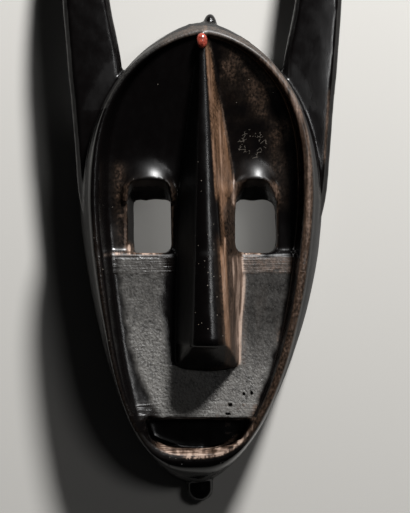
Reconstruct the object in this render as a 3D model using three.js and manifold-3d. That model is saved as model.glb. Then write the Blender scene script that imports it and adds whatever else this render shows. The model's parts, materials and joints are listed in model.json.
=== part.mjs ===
// Wooden face mask of a long-nosed animal with two tall ears, carved in one piece and hollow behind.
// It lies on its flat back rim. Millimetres: +Y runs from the chin to the ear tips, +Z out of the face,
// +X to the viewer's right. "rise" is a distance up the mask, measured from the end of the chin lug.

import * as THREE from 'three';
import { mergeVertices } from 'three/addons/utils/BufferGeometryUtils.js';
import Module from 'manifold-3d';

const wasm = await Module();
wasm.setup();

// Driving dimensions

const TOTAL_LENGTH = 475;
const HALF_LENGTH = TOTAL_LENGTH / 2;

// Egg-shaped curves seen from the front: the outline at the back rim and the crest of the rim.
const OUTLINE = {
  chin: 12, crown: 359.6, widest: 222, halfWidth: 91.5,
  chinTaper: 1.54, chinRound: 0.535, crownTaper: 2.0, crownRound: 0.613,
};
const CREST = {
  chin: 36, crown: 344.5, widest: 226, halfWidth: 76,
  chinTaper: 1.43, chinRound: 0.346, crownTaper: 2.84, crownRound: 0.61,
};

// The rim's crest lies farther out on the left than on the right.
const CREST_LEFT = { ...CREST, halfWidth: 79.5, chinRound: 0.3 };

// The chin leans a little to one side, below this rise.
const CHIN_SWAY = -5;
const SWAY_TOP = 170;

// Height of the rim crest above the back rim, and how it drops round the chin.
const CREST_HEIGHT = 82;
const CREST_CHIN_DROP = 20;
const CREST_DROP_POWER = 8;
const CREST_HALF_BAND = 3;
const CREST_ROUNDING = 1.2;

// Outer wall: share of the way in from outline to crest, and share of the crest height.
const WALL_PROFILE = [[0, 0], [0.14, 0.32], [0.3, 0.6], [0.5, 0.84], [0.76, 0.97]];

// Recessed face inside the rim.
const FOOT_INSET_LEFT = 10;
const FOOT_INSET_RIGHT = 6;
const FOOT_INSET_CHIN = 5.5;
const FOOT_INSET_CROWN = 2.5;
const LID_RISE = 185;
const LID_STEP = 3;
const LID_EDGE = 0.5;
const EYE_BAND_HEIGHT = 54;
const FOREHEAD_START = 205;
const FOREHEAD_POWER = 1.3;
const FOREHEAD_TOP_DROP = 2;
const CHEEK_TOP_HEIGHT = 58;
const CHEEK_BOTTOM_HEIGHT = 67;
const CHEEK_POWER = 1.7;
const UPPER_LIP_RISE = 66;
const LOWER_LIP_FOOT = { rise: 44, height: 54 };
const FACE_DISH = 2.5;

// Hollow behind: its mouth at the back rim, its waist and its ceiling.
const HOLLOW_MOUTH = { side: 13, chin: 18, crown: 13 };
const HOLLOW_WAIST = { side: 16, chin: 26, crown: 18, height: 30 };
const HOLLOW_CEILING = { side: 31, chin: 71, crown: 31 };
const FACE_THICKNESS = 13;
const NOSE_HOLLOW = { x: 1.5, rise: 163, height: 42, radii: [15, 48, 26] };

// Keel and nose: one beam from the crown down to the nose tip.
const KEEL_TOP = { rise: 345, height: 83.5, halfWidth: 1.4, x: -0.8, flank: 0.36 };
const NOSE_TIP = { rise: 119, height: 107, halfWidth: 11, x: 3.2, flank: 0.27 };
const NOSE_BASE_RISE = 100;
const NOSE_CROWNING = 7.5;
const NOSE_TIP_ROUND = 2;
const NOSE_TIP_DROP = 3;
const NOSE_STEPS = 12;

// Front of the nose: share of the half width, and share of the crowning below the ridge.
const NOSE_FRONT = [[1, 1], [0.86, 0.6], [0.6, 0.25], [0.25, 0.04]];

// Right flank: its slope down to the cheek, and the share of the nose from where it steepens.
const RIGHT_FLANK = { slope: 0.41, from: 0.76 };

// Eyes: see-through holes that open upwards to an arched socket under a brow hood.
const EYES = [
  { x: -36.4, width: 27, outerFlare: 5, browX: -39.8, browHalf: 20, narrowing: 0.1 },
  { x: 38.4, width: 30.5, outerFlare: 2, browX: 37.8, browHalf: 18.5, narrowing: 0.3 },
];
const EYE_BOTTOM = 186;
const EYE_TOP = 224.5;
const EYE_CORNER = 6;
const SOCKET_TOP = 238;
const SOCKET_BACK_HEIGHT = 44;
const SOCKET_FRONT_HEIGHT = 68;
const BROW = { rise: 239.5, height: 56.5, depth: 11, relief: 8.5 };

// Mouth: blind slot between the cheeks' lower edge and the crescent of the lower lip.
const MOUTH_FLOOR = 50;
const MOUTH_TOP_HALF_WIDTH = 38.4;
const MOUTH_CORNER_HALF_WIDTH = 33.7;
const MOUTH_CORNER_RISE = 50.6;
const MOUTH_BOTTOM_RISE = 41.8;
const MOUTH_X = -4.3;

// Ears: planks with bevelled edges. Stations run from the root in the head's side to the tip.
const EAR_STATIONS = [
  { rise: 192, x: 78, half: 4, height: 47, thick: 12 },
  { rise: 225, x: 80, half: 10, height: 46.5, thick: 18 },
  { rise: 255, x: 79, half: 14, height: 46, thick: 21 },
  { rise: 298, x: 77.7, half: 18.5, height: 46, thick: 22 },
  { rise: 325, x: 79.3, half: 19.6, height: 46, thick: 21 },
  { rise: 371, x: 85.2, half: 17.2, height: 45, thick: 19 },
  { rise: 418, x: 88, half: 15.2, height: 43, thick: 16 },
  { rise: 450, x: 88.6, half: 12, height: 41, thick: 13 },
];
const EAR_STEPS = 15;
const EAR_TIP_STEPS = 6;
const EAR_TIP_TURN = 1.45;
const EAR_TIP_LEAN = 2;
const EAR_TIP_FULLNESS = 0.8;
const EAR_TIP_THINNING = 0.6;
const EAR_BEVEL = 4;
const EAR_BEVEL_SHARE = 0.35;
const EAR_FRONT_CROWN = 0.2;

// Lugs on the crown and under the chin.
const CROWN_LUG = { x: 6, rise: 354, height: 26, radii: [5.3, 10, 7] };
const CHIN_LUG = { x: -1, radius: 9.8, length: 14, height: 13, flat: 0.75 };

// Drop of red resin on the top end of the keel.
const DROP = { x: -1.4, rise: 338.6, height: 84.4, radii: [4, 5.6, 3.6] };
const TOUCH_GAP = 0.3;

// How far cutting bodies run past the wood.
const CUT_MARGIN = 5;
const CUT_TOP = 120;

// How finely the head is faceted.
const HEAD_ROWS = 46;
const ROW_CLEARANCE = 0.4;
const FACE_COLUMNS = [-0.72, -0.4, 0, 0.4, 0.72];
const CEILING_COLUMNS = [-0.5, 0, 0.5];

// Small helpers

function mix(a, b, t) {
  return a + (b - a) * t;
}

function smoothStep(t) {
  const c = THREE.MathUtils.clamp(t, 0, 1);
  return c * c * (3 - 2 * c);
}

// Half width of an egg curve at a rise, zero at both of its ends.
function eggHalfWidth(egg, rise) {
  if (rise <= egg.chin || rise >= egg.crown) return 0;
  const low = rise < egg.widest;
  const end = low ? egg.chin : egg.crown;
  const reach = (rise - end) / (egg.widest - end);
  const taper = low ? egg.chinTaper : egg.crownTaper;
  const round = low ? egg.chinRound : egg.crownRound;
  return egg.halfWidth * (1 - (1 - reach) ** taper) ** round;
}

// The same egg pulled in by some distances at its sides, chin and crown.
function insetEgg(egg, side, chin, crown) {
  return { ...egg, chin: egg.chin + chin, crown: egg.crown - crown, halfWidth: egg.halfWidth - side };
}

function sway(rise) {
  return CHIN_SWAY * smoothStep(1 - rise / SWAY_TOP);
}

function crest(side) {
  return side < 0 ? CREST_LEFT : CREST;
}

// Point of an egg curve at a share of its length, on the left (-1) or right (+1) side.
function eggPoint(egg, share, side) {
  const rise = mix(egg.chin, egg.crown, share);
  return { x: side * eggHalfWidth(egg, rise), rise };
}

function crestHeight(rise) {
  const share = THREE.MathUtils.clamp((rise - CREST.chin) / (CREST.crown - CREST.chin), 0, 1);
  return CREST_HEIGHT - CREST_CHIN_DROP * (1 - share) ** CREST_DROP_POWER;
}

// Height of the recessed forehead and cheeks along the middle of the face, then down to the lower lip.
function recessHeight(rise) {
  if (rise > LID_RISE) {
    const top = CREST_HEIGHT - FOREHEAD_TOP_DROP;
    const share = THREE.MathUtils.clamp((rise - FOREHEAD_START) / (CREST.crown - FOREHEAD_START), 0, 1);
    return mix(EYE_BAND_HEIGHT, top, share ** FOREHEAD_POWER);
  }
  if (rise < UPPER_LIP_RISE) {
    const fall = smoothStep((UPPER_LIP_RISE - rise) / (UPPER_LIP_RISE - LOWER_LIP_FOOT.rise));
    return mix(CHEEK_BOTTOM_HEIGHT, LOWER_LIP_FOOT.height, fall);
  }
  const share = (LID_RISE - rise) / (LID_RISE - UPPER_LIP_RISE);
  return mix(CHEEK_TOP_HEIGHT, CHEEK_BOTTOM_HEIGHT, share ** CHEEK_POWER);
}

// The ceiling of the hollow follows the face.
function ceilingHeight(rise) {
  return recessHeight(rise) - FACE_THICKNESS;
}

// Closed bodies

// Joins a row of sections, each a closed loop with as many points, into one closed body.
function loft(sections, capped) {
  const count = sections[0].length;
  const positions = sections.flat(2);
  const index = [];
  for (let row = 0; row < sections.length - 1; row += 1) {
    for (let i = 0; i < count; i += 1) {
      const next = (i + 1) % count;
      const a = row * count + i;
      const b = row * count + next;
      index.push(a, b, b + count, a, b + count, a + count);
    }
  }
  if (capped) {
    const last = (sections.length - 1) * count;
    for (let i = 1; i < count - 1; i += 1) {
      index.push(0, i + 1, i);
      index.push(last, last + i, last + i + 1);
    }
  }
  const geometry = new THREE.BufferGeometry();
  geometry.setAttribute('position', new THREE.Float32BufferAttribute(positions, 3));
  geometry.setIndex(index);
  return geometry;
}

// Turns a geometry into a solid for joining and cutting, with its faces pointing out.
function solid(geometry) {
  const bare = geometry.clone();
  bare.deleteAttribute('normal');
  bare.deleteAttribute('uv');
  const merged = mergeVertices(bare, 1e-3);
  const points = merged.attributes.position.array;
  const triangles = [];
  let volume = 0;
  for (let i = 0; i < merged.index.count; i += 3) {
    const [a, b, c] = [0, 1, 2].map((k) => merged.index.getX(i + k));
    if (a === b || b === c || c === a) continue;
    triangles.push([a, b, c]);
    const [p, q, r] = [a, b, c].map((k) => new THREE.Vector3().fromArray(points, 3 * k));
    volume += p.dot(q.cross(r));
  }
  const facing = volume > 0 ? triangles : triangles.map(([a, b, c]) => [a, c, b]);
  const mesh = new wasm.Mesh({
    numProp: 3,
    vertProperties: Float32Array.from(points),
    triVerts: Uint32Array.from(facing.flat()),
  });
  return new wasm.Manifold(mesh);
}

function geometryOf(body) {
  const mesh = body.getMesh();
  const geometry = new THREE.BufferGeometry();
  geometry.setAttribute('position', new THREE.BufferAttribute(Float32Array.from(mesh.vertProperties), 3));
  geometry.setIndex(new THREE.BufferAttribute(Uint32Array.from(mesh.triVerts), 1));
  geometry.computeVertexNormals();
  return geometry;
}

// Head

// One closed section of the head, from the left outline over the face to the right and back inside.
function headSection(share) {
  const point = (egg, side, height) => {
    const { x, rise } = eggPoint(egg, share, side);
    return [x + sway(rise), rise - HALF_LENGTH, height(rise, x)];
  };
  const between = (side, inward, height) => {
    const outer = eggPoint(OUTLINE, share, side);
    const inner = eggPoint(crest(side), share, side);
    const rise = mix(outer.rise, inner.rise, inward);
    const x = mix(outer.x, inner.x, inward) + sway(rise);
    return [x, rise - HALF_LENGTH, height * crestHeight(inner.rise)];
  };
  const footInset = (side) => (side < 0 ? FOOT_INSET_LEFT : FOOT_INSET_RIGHT);
  const foot = (side) => insetEgg(crest(side), footInset(side), FOOT_INSET_CHIN, FOOT_INSET_CROWN);
  const band = (side) => insetEgg(crest(side), CREST_HALF_BAND, CREST_HALF_BAND, FOOT_INSET_CROWN / 2);
  const faceHeight = (rise, x) => {
    const half = Math.max(eggHalfWidth(foot(x), rise), 1);
    const dish = FACE_DISH * smoothStep(1 - share);
    return recessHeight(rise) + dish * Math.min(Math.abs(x) / half, 1) ** 2;
  };
  const outerSide = (side) => [
    ...WALL_PROFILE.map(([inward, height]) => between(side, inward, height)),
    point(crest(side), side, crestHeight),
    point(band(side), side, (rise) => crestHeight(rise) - CREST_ROUNDING),
    point(foot(side), side, faceHeight),
  ];
  const across = (egg, columns, height) => columns.map((column) => {
    const { x: half, rise } = eggPoint(egg(column), share, 1);
    return [column * half + sway(rise), rise - HALF_LENGTH, height(rise, column * half)];
  });
  const [mouth, waist, ceiling] = [HOLLOW_MOUTH, HOLLOW_WAIST, HOLLOW_CEILING].map(
    (inset) => insetEgg(OUTLINE, inset.side, inset.chin, inset.crown),
  );
  const innerSide = (side) => [
    point(mouth, side, () => 0),
    point(waist, side, () => HOLLOW_WAIST.height),
    point(ceiling, side, ceilingHeight),
  ];
  return [
    ...outerSide(-1),
    ...across(foot, FACE_COLUMNS, faceHeight),
    ...outerSide(1).reverse(),
    ...innerSide(1),
    ...across(() => ceiling, CEILING_COLUMNS, ceilingHeight).reverse(),
    ...innerSide(-1).reverse(),
  ];
}

function headBody() {
  const footLength = CREST.crown - CREST.chin - FOOT_INSET_CHIN - FOOT_INSET_CROWN;
  const stepRows = [LID_RISE - LID_EDGE, LID_RISE + LID_STEP].map(
    (rise) => (rise - CREST.chin - FOOT_INSET_CHIN) / footLength,
  );
  const clearance = ROW_CLEARANCE / HEAD_ROWS;
  const evenRows = [];
  for (let row = 0; row <= HEAD_ROWS; row += 1) {
    const share = (1 - Math.cos((Math.PI * row) / HEAD_ROWS)) / 2;
    if (stepRows.every((step) => Math.abs(step - share) > clearance)) evenRows.push(share);
  }
  const shares = [...evenRows, ...stepRows].sort((a, b) => a - b);
  return solid(loft(shares.map(headSection), false));
}

// Nose beam: sections with a crowned front and sloping flanks, buried in the face behind.
function noseLine(rise) {
  const share = THREE.MathUtils.clamp((KEEL_TOP.rise - rise) / (KEEL_TOP.rise - NOSE_TIP.rise), 0, 1);
  const blend = (key) => mix(KEEL_TOP[key], NOSE_TIP[key], share);
  const steepening = smoothStep((share - RIGHT_FLANK.from) / (1 - RIGHT_FLANK.from));
  return {
    x: blend('x'),
    height: blend('height'),
    halfWidth: blend('halfWidth'),
    leftFlank: blend('flank'),
    rightFlank: mix(RIGHT_FLANK.slope, NOSE_TIP.flank, steepening),
    crowning: NOSE_CROWNING * share,
  };
}

function noseSection(rise, drop) {
  const { x, height, halfWidth, leftFlank, rightFlank, crowning } = noseLine(rise);
  const back = recessHeight(rise) - FACE_THICKNESS / 2;
  const half = (side, flank) => [
    [halfWidth + flank * (height - back), back],
    ...NOSE_FRONT.map(([across, down]) => [
      across * halfWidth + flank * (drop + down * crowning), height - drop - down * crowning,
    ]),
  ].map(([u, z]) => [x + side * u, rise - HALF_LENGTH, z]);
  return [...half(-1, leftFlank), ...half(1, rightFlank).reverse()];
}

function noseBody() {
  const sections = [];
  for (let i = 0; i <= NOSE_STEPS; i += 1) {
    sections.push(noseSection(mix(KEEL_TOP.rise, NOSE_TIP.rise, i / NOSE_STEPS), 0));
  }
  sections.push(noseSection(NOSE_TIP.rise - NOSE_TIP_ROUND, NOSE_TIP_DROP));
  sections.push(noseSection(NOSE_BASE_RISE, NOSE_TIP.height - recessHeight(NOSE_BASE_RISE) + 1));
  return solid(loft(sections, true));
}

function ellipsoidBody({ x, rise, height, radii }) {
  const geometry = new THREE.SphereGeometry(1, 20, 12);
  geometry.scale(...radii);
  geometry.translate(x, rise - HALF_LENGTH, height);
  return solid(geometry);
}

// Ear: bevelled plank through the stations, closed by a rounded tip.
function earSection(side, { rise, x, half, height, thick }) {
  const bevel = Math.min(EAR_BEVEL, half * EAR_BEVEL_SHARE, thick * EAR_BEVEL_SHARE);
  const loop = [
    [-half, -thick / 2 + bevel],
    [-half + bevel, -thick / 2],
    [half - bevel, -thick / 2],
    [half, -thick / 2 + bevel],
    [half, thick / 2 - bevel],
    [half - bevel, thick / 2],
    [0, thick / 2 + bevel * EAR_FRONT_CROWN],
    [-half + bevel, thick / 2],
    [-half, thick / 2 - bevel],
  ];
  return loop.map(([u, w]) => [side * (x + u), rise - HALF_LENGTH, height + w]);
}

function earBody(side) {
  const curve = (first, second, third) => new THREE.CatmullRomCurve3(
    EAR_STATIONS.map((station) => new THREE.Vector3(station[first], station[second], station[third])),
    false, 'catmullrom',
  );
  const path = curve('x', 'rise', 'height');
  const size = curve('half', 'rise', 'thick');
  const shoulder = EAR_STATIONS[EAR_STATIONS.length - 1];
  const sections = [];
  for (let i = 0; i <= EAR_STEPS; i += 1) {
    const place = path.getPoint(i / EAR_STEPS);
    const extent = size.getPoint(i / EAR_STEPS);
    sections.push(earSection(side, {
      rise: place.y, x: place.x, half: extent.x, height: place.z, thick: extent.z,
    }));
  }
  for (let i = 1; i <= EAR_TIP_STEPS; i += 1) {
    const turn = (EAR_TIP_TURN * i) / EAR_TIP_STEPS;
    const end = i / EAR_TIP_STEPS;
    sections.push(earSection(side, {
      rise: mix(shoulder.rise, TOTAL_LENGTH, Math.sin(turn) / Math.sin(EAR_TIP_TURN)),
      x: shoulder.x - EAR_TIP_LEAN * end ** 2,
      half: shoulder.half * Math.cos(turn) ** EAR_TIP_FULLNESS,
      height: shoulder.height - EAR_TIP_LEAN * end,
      thick: shoulder.thick * mix(1, EAR_TIP_THINNING, end),
    }));
  }
  return solid(loft(sections, true));
}

function chinLugBody() {
  const { x, radius, length, height, flat } = CHIN_LUG;
  const geometry = new THREE.CapsuleGeometry(radius, length, 5, 16);
  geometry.scale(1, 1, flat);
  geometry.translate(x, radius + length / 2 - HALF_LENGTH, height);
  return solid(geometry);
}

// Eye: rounded hole straight through, its top wall sloping forward to the socket's arch.
function browHood({ browX, browHalf }) {
  const { rise, height, depth, relief } = BROW;
  return ellipsoidBody({ x: browX, rise, height, radii: [browHalf, depth, relief] });
}

function eyeCut({ x, width, outerFlare, browX, narrowing }) {
  const half = width / 2;
  const shape = new THREE.Shape();
  shape.moveTo(-half + EYE_CORNER, EYE_BOTTOM);
  shape.lineTo(half - EYE_CORNER, EYE_BOTTOM);
  shape.quadraticCurveTo(half, EYE_BOTTOM, half, EYE_BOTTOM + EYE_CORNER);
  shape.lineTo(half, EYE_TOP - EYE_CORNER);
  shape.quadraticCurveTo(half, EYE_TOP, half - EYE_CORNER, EYE_TOP);
  shape.lineTo(-half + EYE_CORNER, EYE_TOP);
  shape.quadraticCurveTo(-half, EYE_TOP, -half, EYE_TOP - EYE_CORNER);
  shape.lineTo(-half, EYE_BOTTOM + EYE_CORNER);
  shape.quadraticCurveTo(-half, EYE_BOTTOM, -half + EYE_CORNER, EYE_BOTTOM);
  const outline = shape.extractPoints(4).shape.slice(0, -1);
  const outward = Math.sign(x);
  const section = (height) => {
    const open = THREE.MathUtils.clamp(
      (height - SOCKET_BACK_HEIGHT) / (SOCKET_FRONT_HEIGHT - SOCKET_BACK_HEIGHT), 0, 1,
    );
    return outline.map((p) => {
      const up = (p.y - EYE_BOTTOM) / (EYE_TOP - EYE_BOTTOM);
      const across = (outward * p.x) / half;
      const arch = (SOCKET_TOP - EYE_TOP) * open * up ** 2;
      const flare = outerFlare * open * Math.max(across, 0);
      const narrowed = narrowing * open * Math.max(up, 0) ** 3;
      return [mix(x + p.x + outward * flare, browX, narrowed), p.y + arch - HALF_LENGTH, height];
    });
  };
  const levels = [-CUT_MARGIN, SOCKET_BACK_HEIGHT, SOCKET_FRONT_HEIGHT, CUT_TOP];
  return solid(loft(levels.map(section), true));
}

function mouthCut() {
  const shape = new THREE.Shape();
  const dip = 2 * MOUTH_BOTTOM_RISE - MOUTH_CORNER_RISE;
  shape.moveTo(-MOUTH_TOP_HALF_WIDTH, UPPER_LIP_RISE);
  shape.lineTo(-MOUTH_CORNER_HALF_WIDTH, MOUTH_CORNER_RISE);
  shape.quadraticCurveTo(0, dip, MOUTH_CORNER_HALF_WIDTH, MOUTH_CORNER_RISE);
  shape.lineTo(MOUTH_TOP_HALF_WIDTH, UPPER_LIP_RISE);
  shape.closePath();
  const geometry = new THREE.ExtrudeGeometry(shape, {
    depth: CUT_TOP - MOUTH_FLOOR, bevelEnabled: false, curveSegments: 14,
  });
  geometry.translate(MOUTH_X, -HALF_LENGTH, MOUTH_FLOOR);
  return solid(geometry);
}

function maskBody() {
  const joined = [
    noseBody(),
    ...EYES.map(browHood),
    earBody(-1),
    earBody(1),
    ellipsoidBody(CROWN_LUG),
    chinLugBody(),
  ].reduce((whole, body) => whole.add(body), headBody());
  const cuts = [...EYES.map(eyeCut), mouthCut(), ellipsoidBody(NOSE_HOLLOW)];
  return cuts.reduce((whole, cut) => whole.subtract(cut), joined);
}

// The drop is cut by the wood it sits on, moved out by the gap between the two.
function dropBody(mask) {
  const gaps = [[0, 0, TOUCH_GAP], [TOUCH_GAP, 0, 0], [-TOUCH_GAP, 0, 0]];
  return gaps.reduce((drop, gap) => drop.subtract(mask.translate(gap)), ellipsoidBody(DROP));
}

// Named meshes

function namedMesh(name, body, look) {
  const mesh = new THREE.Mesh(geometryOf(body), new THREE.MeshStandardMaterial(look));
  mesh.name = name;
  return mesh;
}

const mask = maskBody();
const group = new THREE.Group();
group.add(namedMesh('mask', mask, { color: 0x1f1814, roughness: 0.38, metalness: 0 }));
group.add(namedMesh('red_drop', dropBody(mask), { color: 0x9c3526, roughness: 0.22, metalness: 0 }));

export default group;
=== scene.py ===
"""Long-nosed animal mask with two tall ears, carved in one piece of blackened wood and hollow behind.

It lies on its flat back rim with its face up, the ears pointing along +Y. A carver's sizes are in
millimetres here, and one function turns them to metres. "rise" is a distance up the mask from the end
of the lug under the chin, and "height" a distance above the back rim.
"""

import json
import logging
import math
from dataclasses import dataclass, field, replace
from enum import Enum

import bpy
import numpy as np
from mathutils import Matrix, Vector
from mathutils.kdtree import KDTree

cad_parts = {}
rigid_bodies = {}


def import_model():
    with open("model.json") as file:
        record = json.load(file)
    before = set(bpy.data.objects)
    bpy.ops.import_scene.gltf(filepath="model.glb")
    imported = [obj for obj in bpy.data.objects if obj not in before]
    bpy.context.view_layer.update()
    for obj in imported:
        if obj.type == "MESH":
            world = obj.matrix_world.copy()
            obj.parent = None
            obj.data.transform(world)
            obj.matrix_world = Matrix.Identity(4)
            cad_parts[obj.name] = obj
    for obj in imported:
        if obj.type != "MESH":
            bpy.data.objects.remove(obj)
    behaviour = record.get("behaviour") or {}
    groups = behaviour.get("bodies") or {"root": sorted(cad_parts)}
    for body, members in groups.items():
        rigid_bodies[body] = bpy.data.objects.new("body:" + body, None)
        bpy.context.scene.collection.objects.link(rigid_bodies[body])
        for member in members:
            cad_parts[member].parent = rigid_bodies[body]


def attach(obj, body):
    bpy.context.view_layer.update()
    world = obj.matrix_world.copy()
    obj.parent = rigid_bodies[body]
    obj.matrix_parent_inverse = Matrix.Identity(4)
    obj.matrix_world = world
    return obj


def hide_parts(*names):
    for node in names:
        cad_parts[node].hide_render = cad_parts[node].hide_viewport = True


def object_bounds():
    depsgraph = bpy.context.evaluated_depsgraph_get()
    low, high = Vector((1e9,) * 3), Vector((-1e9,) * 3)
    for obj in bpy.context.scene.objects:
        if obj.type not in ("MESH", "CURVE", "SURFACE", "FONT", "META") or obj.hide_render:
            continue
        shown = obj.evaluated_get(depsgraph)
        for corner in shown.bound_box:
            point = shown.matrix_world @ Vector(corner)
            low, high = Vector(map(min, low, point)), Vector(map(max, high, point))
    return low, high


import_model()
CAD_BOX = [[float(value) for value in corner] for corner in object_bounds()]

LOG = logging.getLogger("mask")
Array = np.ndarray
Triple = Array | tuple[float, float, float]

METRES = 0.001
HALF_LENGTH = (CAD_BOX[1][1] - CAD_BOX[0][1]) / 2 / METRES


class Side(Enum):
    """The mask's sides, as a viewer of the face has them."""

    LEFT = -1
    RIGHT = 1


# Numbers


def mix(a: float | Array, b: float | Array, t: float | Array) -> float | Array:
    """Goes from a at t 0 to b at t 1."""
    return a + (b - a) * t


def smooth_step(t: float | Array) -> float | Array:
    """Goes from 0 at t 0 to 1 at t 1, level at both ends."""
    held = np.clip(t, 0.0, 1.0)
    return held * held * (3.0 - 2.0 * held)


def window(value: Array, start: float, end: float, fade: float) -> Array:
    """One between start and end, fading to 0 over the fade outside them."""
    return smooth_step((value - start + fade) / fade) * smooth_step((end + fade - value) / fade)


def bell(distance: Array, width: float) -> Array:
    """One at distance 0, falling off smoothly past the width."""
    return np.exp(-((distance / width) ** 2))


def scatter(*cells: Array, seed: int = 0) -> Array:
    """Gives each whole-numbered cell its own steady number from 0 to 1.

    Args:
        cells: One array of whole numbers for each direction.
        seed: A number that picks another set.

    Returns:
        The cells' numbers.
    """
    primes = (73856093, 19349663, 83492791)
    mixed = np.full(np.shape(cells[0]), 2654435761 + 97 * seed, dtype=np.uint64)
    for cell, prime in zip(cells, primes):
        mixed ^= (cell.astype(np.int64) * prime).astype(np.uint64)
    mixed = ((mixed ^ (mixed >> np.uint64(13))) * np.uint64(1274126177)) & np.uint64(0xFFFFFFFF)
    mixed ^= mixed >> np.uint64(16)
    return (mixed & np.uint64(0xFFFFFF)).astype(float) / 0xFFFFFF


def soft_noise(points: Array, size: float | tuple[float, float, float], seed: int = 0) -> Array:
    """Smooth random values over space.

    Args:
        points: Places, as rows of three.
        size: How far apart the values change, along each direction.
        seed: A number that picks another field.

    Returns:
        A value from -1 to 1 for each place.
    """
    scaled = points / np.asarray(size, dtype=float)
    low = np.floor(scaled)
    share = smooth_step(scaled - low)
    total = np.zeros(len(points))
    for corner in np.ndindex(2, 2, 2):
        weight = np.prod(np.where(corner, share, 1.0 - share), axis=1)
        total += weight * scatter(*(low + corner).T, seed=seed)
    return 2.0 * total - 1.0


def scoops(u: Array, v: Array, seed: int = 0) -> Array:
    """Shallow overlapping hollows, such as a blade leaves.

    Args:
        u: Places across, counted in hollows.
        v: Places along, counted in hollows.
        seed: A number that picks another set.

    Returns:
        0 in the middle of a hollow, up to 1 on the ridges between them.
    """
    nearest = np.full(np.shape(u), 9.0)
    for du in (-1, 0, 1):
        for dv in (-1, 0, 1):
            cu, cv = np.floor(u) + du, np.floor(v) + dv
            pu = cu + scatter(cu, cv, seed=seed)
            pv = cv + scatter(cu, cv, seed=seed + 1)
            nearest = np.minimum(nearest, (u - pu) ** 2 + (v - pv) ** 2)
    return np.clip(nearest / 0.6, 0.0, 1.0)


def rounded(u: Array, z: Array, reach: float, points: int = 81) -> tuple[Array, Array]:
    """Rounds the corners of an open outline.

    Args:
        u: Places across.
        z: Heights.
        reach: How far along the outline a corner is spread.
        points: How many points the new outline has.

    Returns:
        The new places and heights, evenly spaced, with both ends kept.
    """
    along = np.concatenate([[0.0], np.cumsum(np.hypot(np.diff(u), np.diff(z)))])
    even = np.linspace(0.0, along[-1], points)
    weights = np.exp(-(((even[:, None] - even[None, :]) / reach) ** 2))
    hold = np.minimum(even, even[::-1]) / (2.0 * reach)
    hold = smooth_step(hold)
    result = []
    for values in (u, z):
        spaced = np.interp(even, along, values)
        soft = weights @ spaced / weights.sum(axis=1)
        result.append(mix(spaced, soft, hold))
    return result[0], result[1]


def distance_from(x: Array, rise: Array, curve: Array) -> Array:
    """Distance of places from a curve seen from the front, in millimetres.

    Args:
        x: Places across.
        rise: Their rises.
        curve: The curve's points.

    Returns:
        The distances.
    """
    tree = KDTree(len(curve))
    for index, (curve_x, curve_rise) in enumerate(curve):
        tree.insert((curve_x, curve_rise, 0.0), index)
    tree.balance()
    return np.array([tree.find((a, b, 0.0))[2] for a, b in zip(x.tolist(), rise.tolist())])


# The mask's form


@dataclass(frozen=True)
class Egg:
    """An egg-shaped curve seen from the front, in millimetres of rise and half width."""

    chin: float
    crown: float
    widest: float
    half_width: float
    chin_taper: float
    chin_round: float
    crown_taper: float
    crown_round: float

    def half_at(self, rise: Array) -> Array:
        """Half width at a rise, zero at both of its ends.

        Args:
            rise: How far up the mask.

        Returns:
            The half widths.
        """
        low = rise < self.widest
        end = np.where(low, self.chin, self.crown)
        reach = np.clip((rise - end) / (self.widest - end), 0.0, 1.0)
        taper = np.where(low, self.chin_taper, self.crown_taper)
        rounding = np.where(low, self.chin_round, self.crown_round)
        return self.half_width * (1.0 - (1.0 - reach) ** taper) ** rounding

    def inset(self, side: float, chin: float, crown: float) -> "Egg":
        """The same curve pulled in at its sides, chin and crown.

        Args:
            side: How far each side moves in.
            chin: How far the chin's end moves up.
            crown: How far the crown's end moves down.

        Returns:
            The smaller curve.
        """
        return replace(
            self, chin=self.chin + chin, crown=self.crown - crown, half_width=self.half_width - side
        )

    def points(self, share: Array) -> tuple[Array, Array]:
        """Half width and rise at shares of the curve's length."""
        rise = mix(self.chin, self.crown, share)
        return self.half_at(rise), rise


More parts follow.
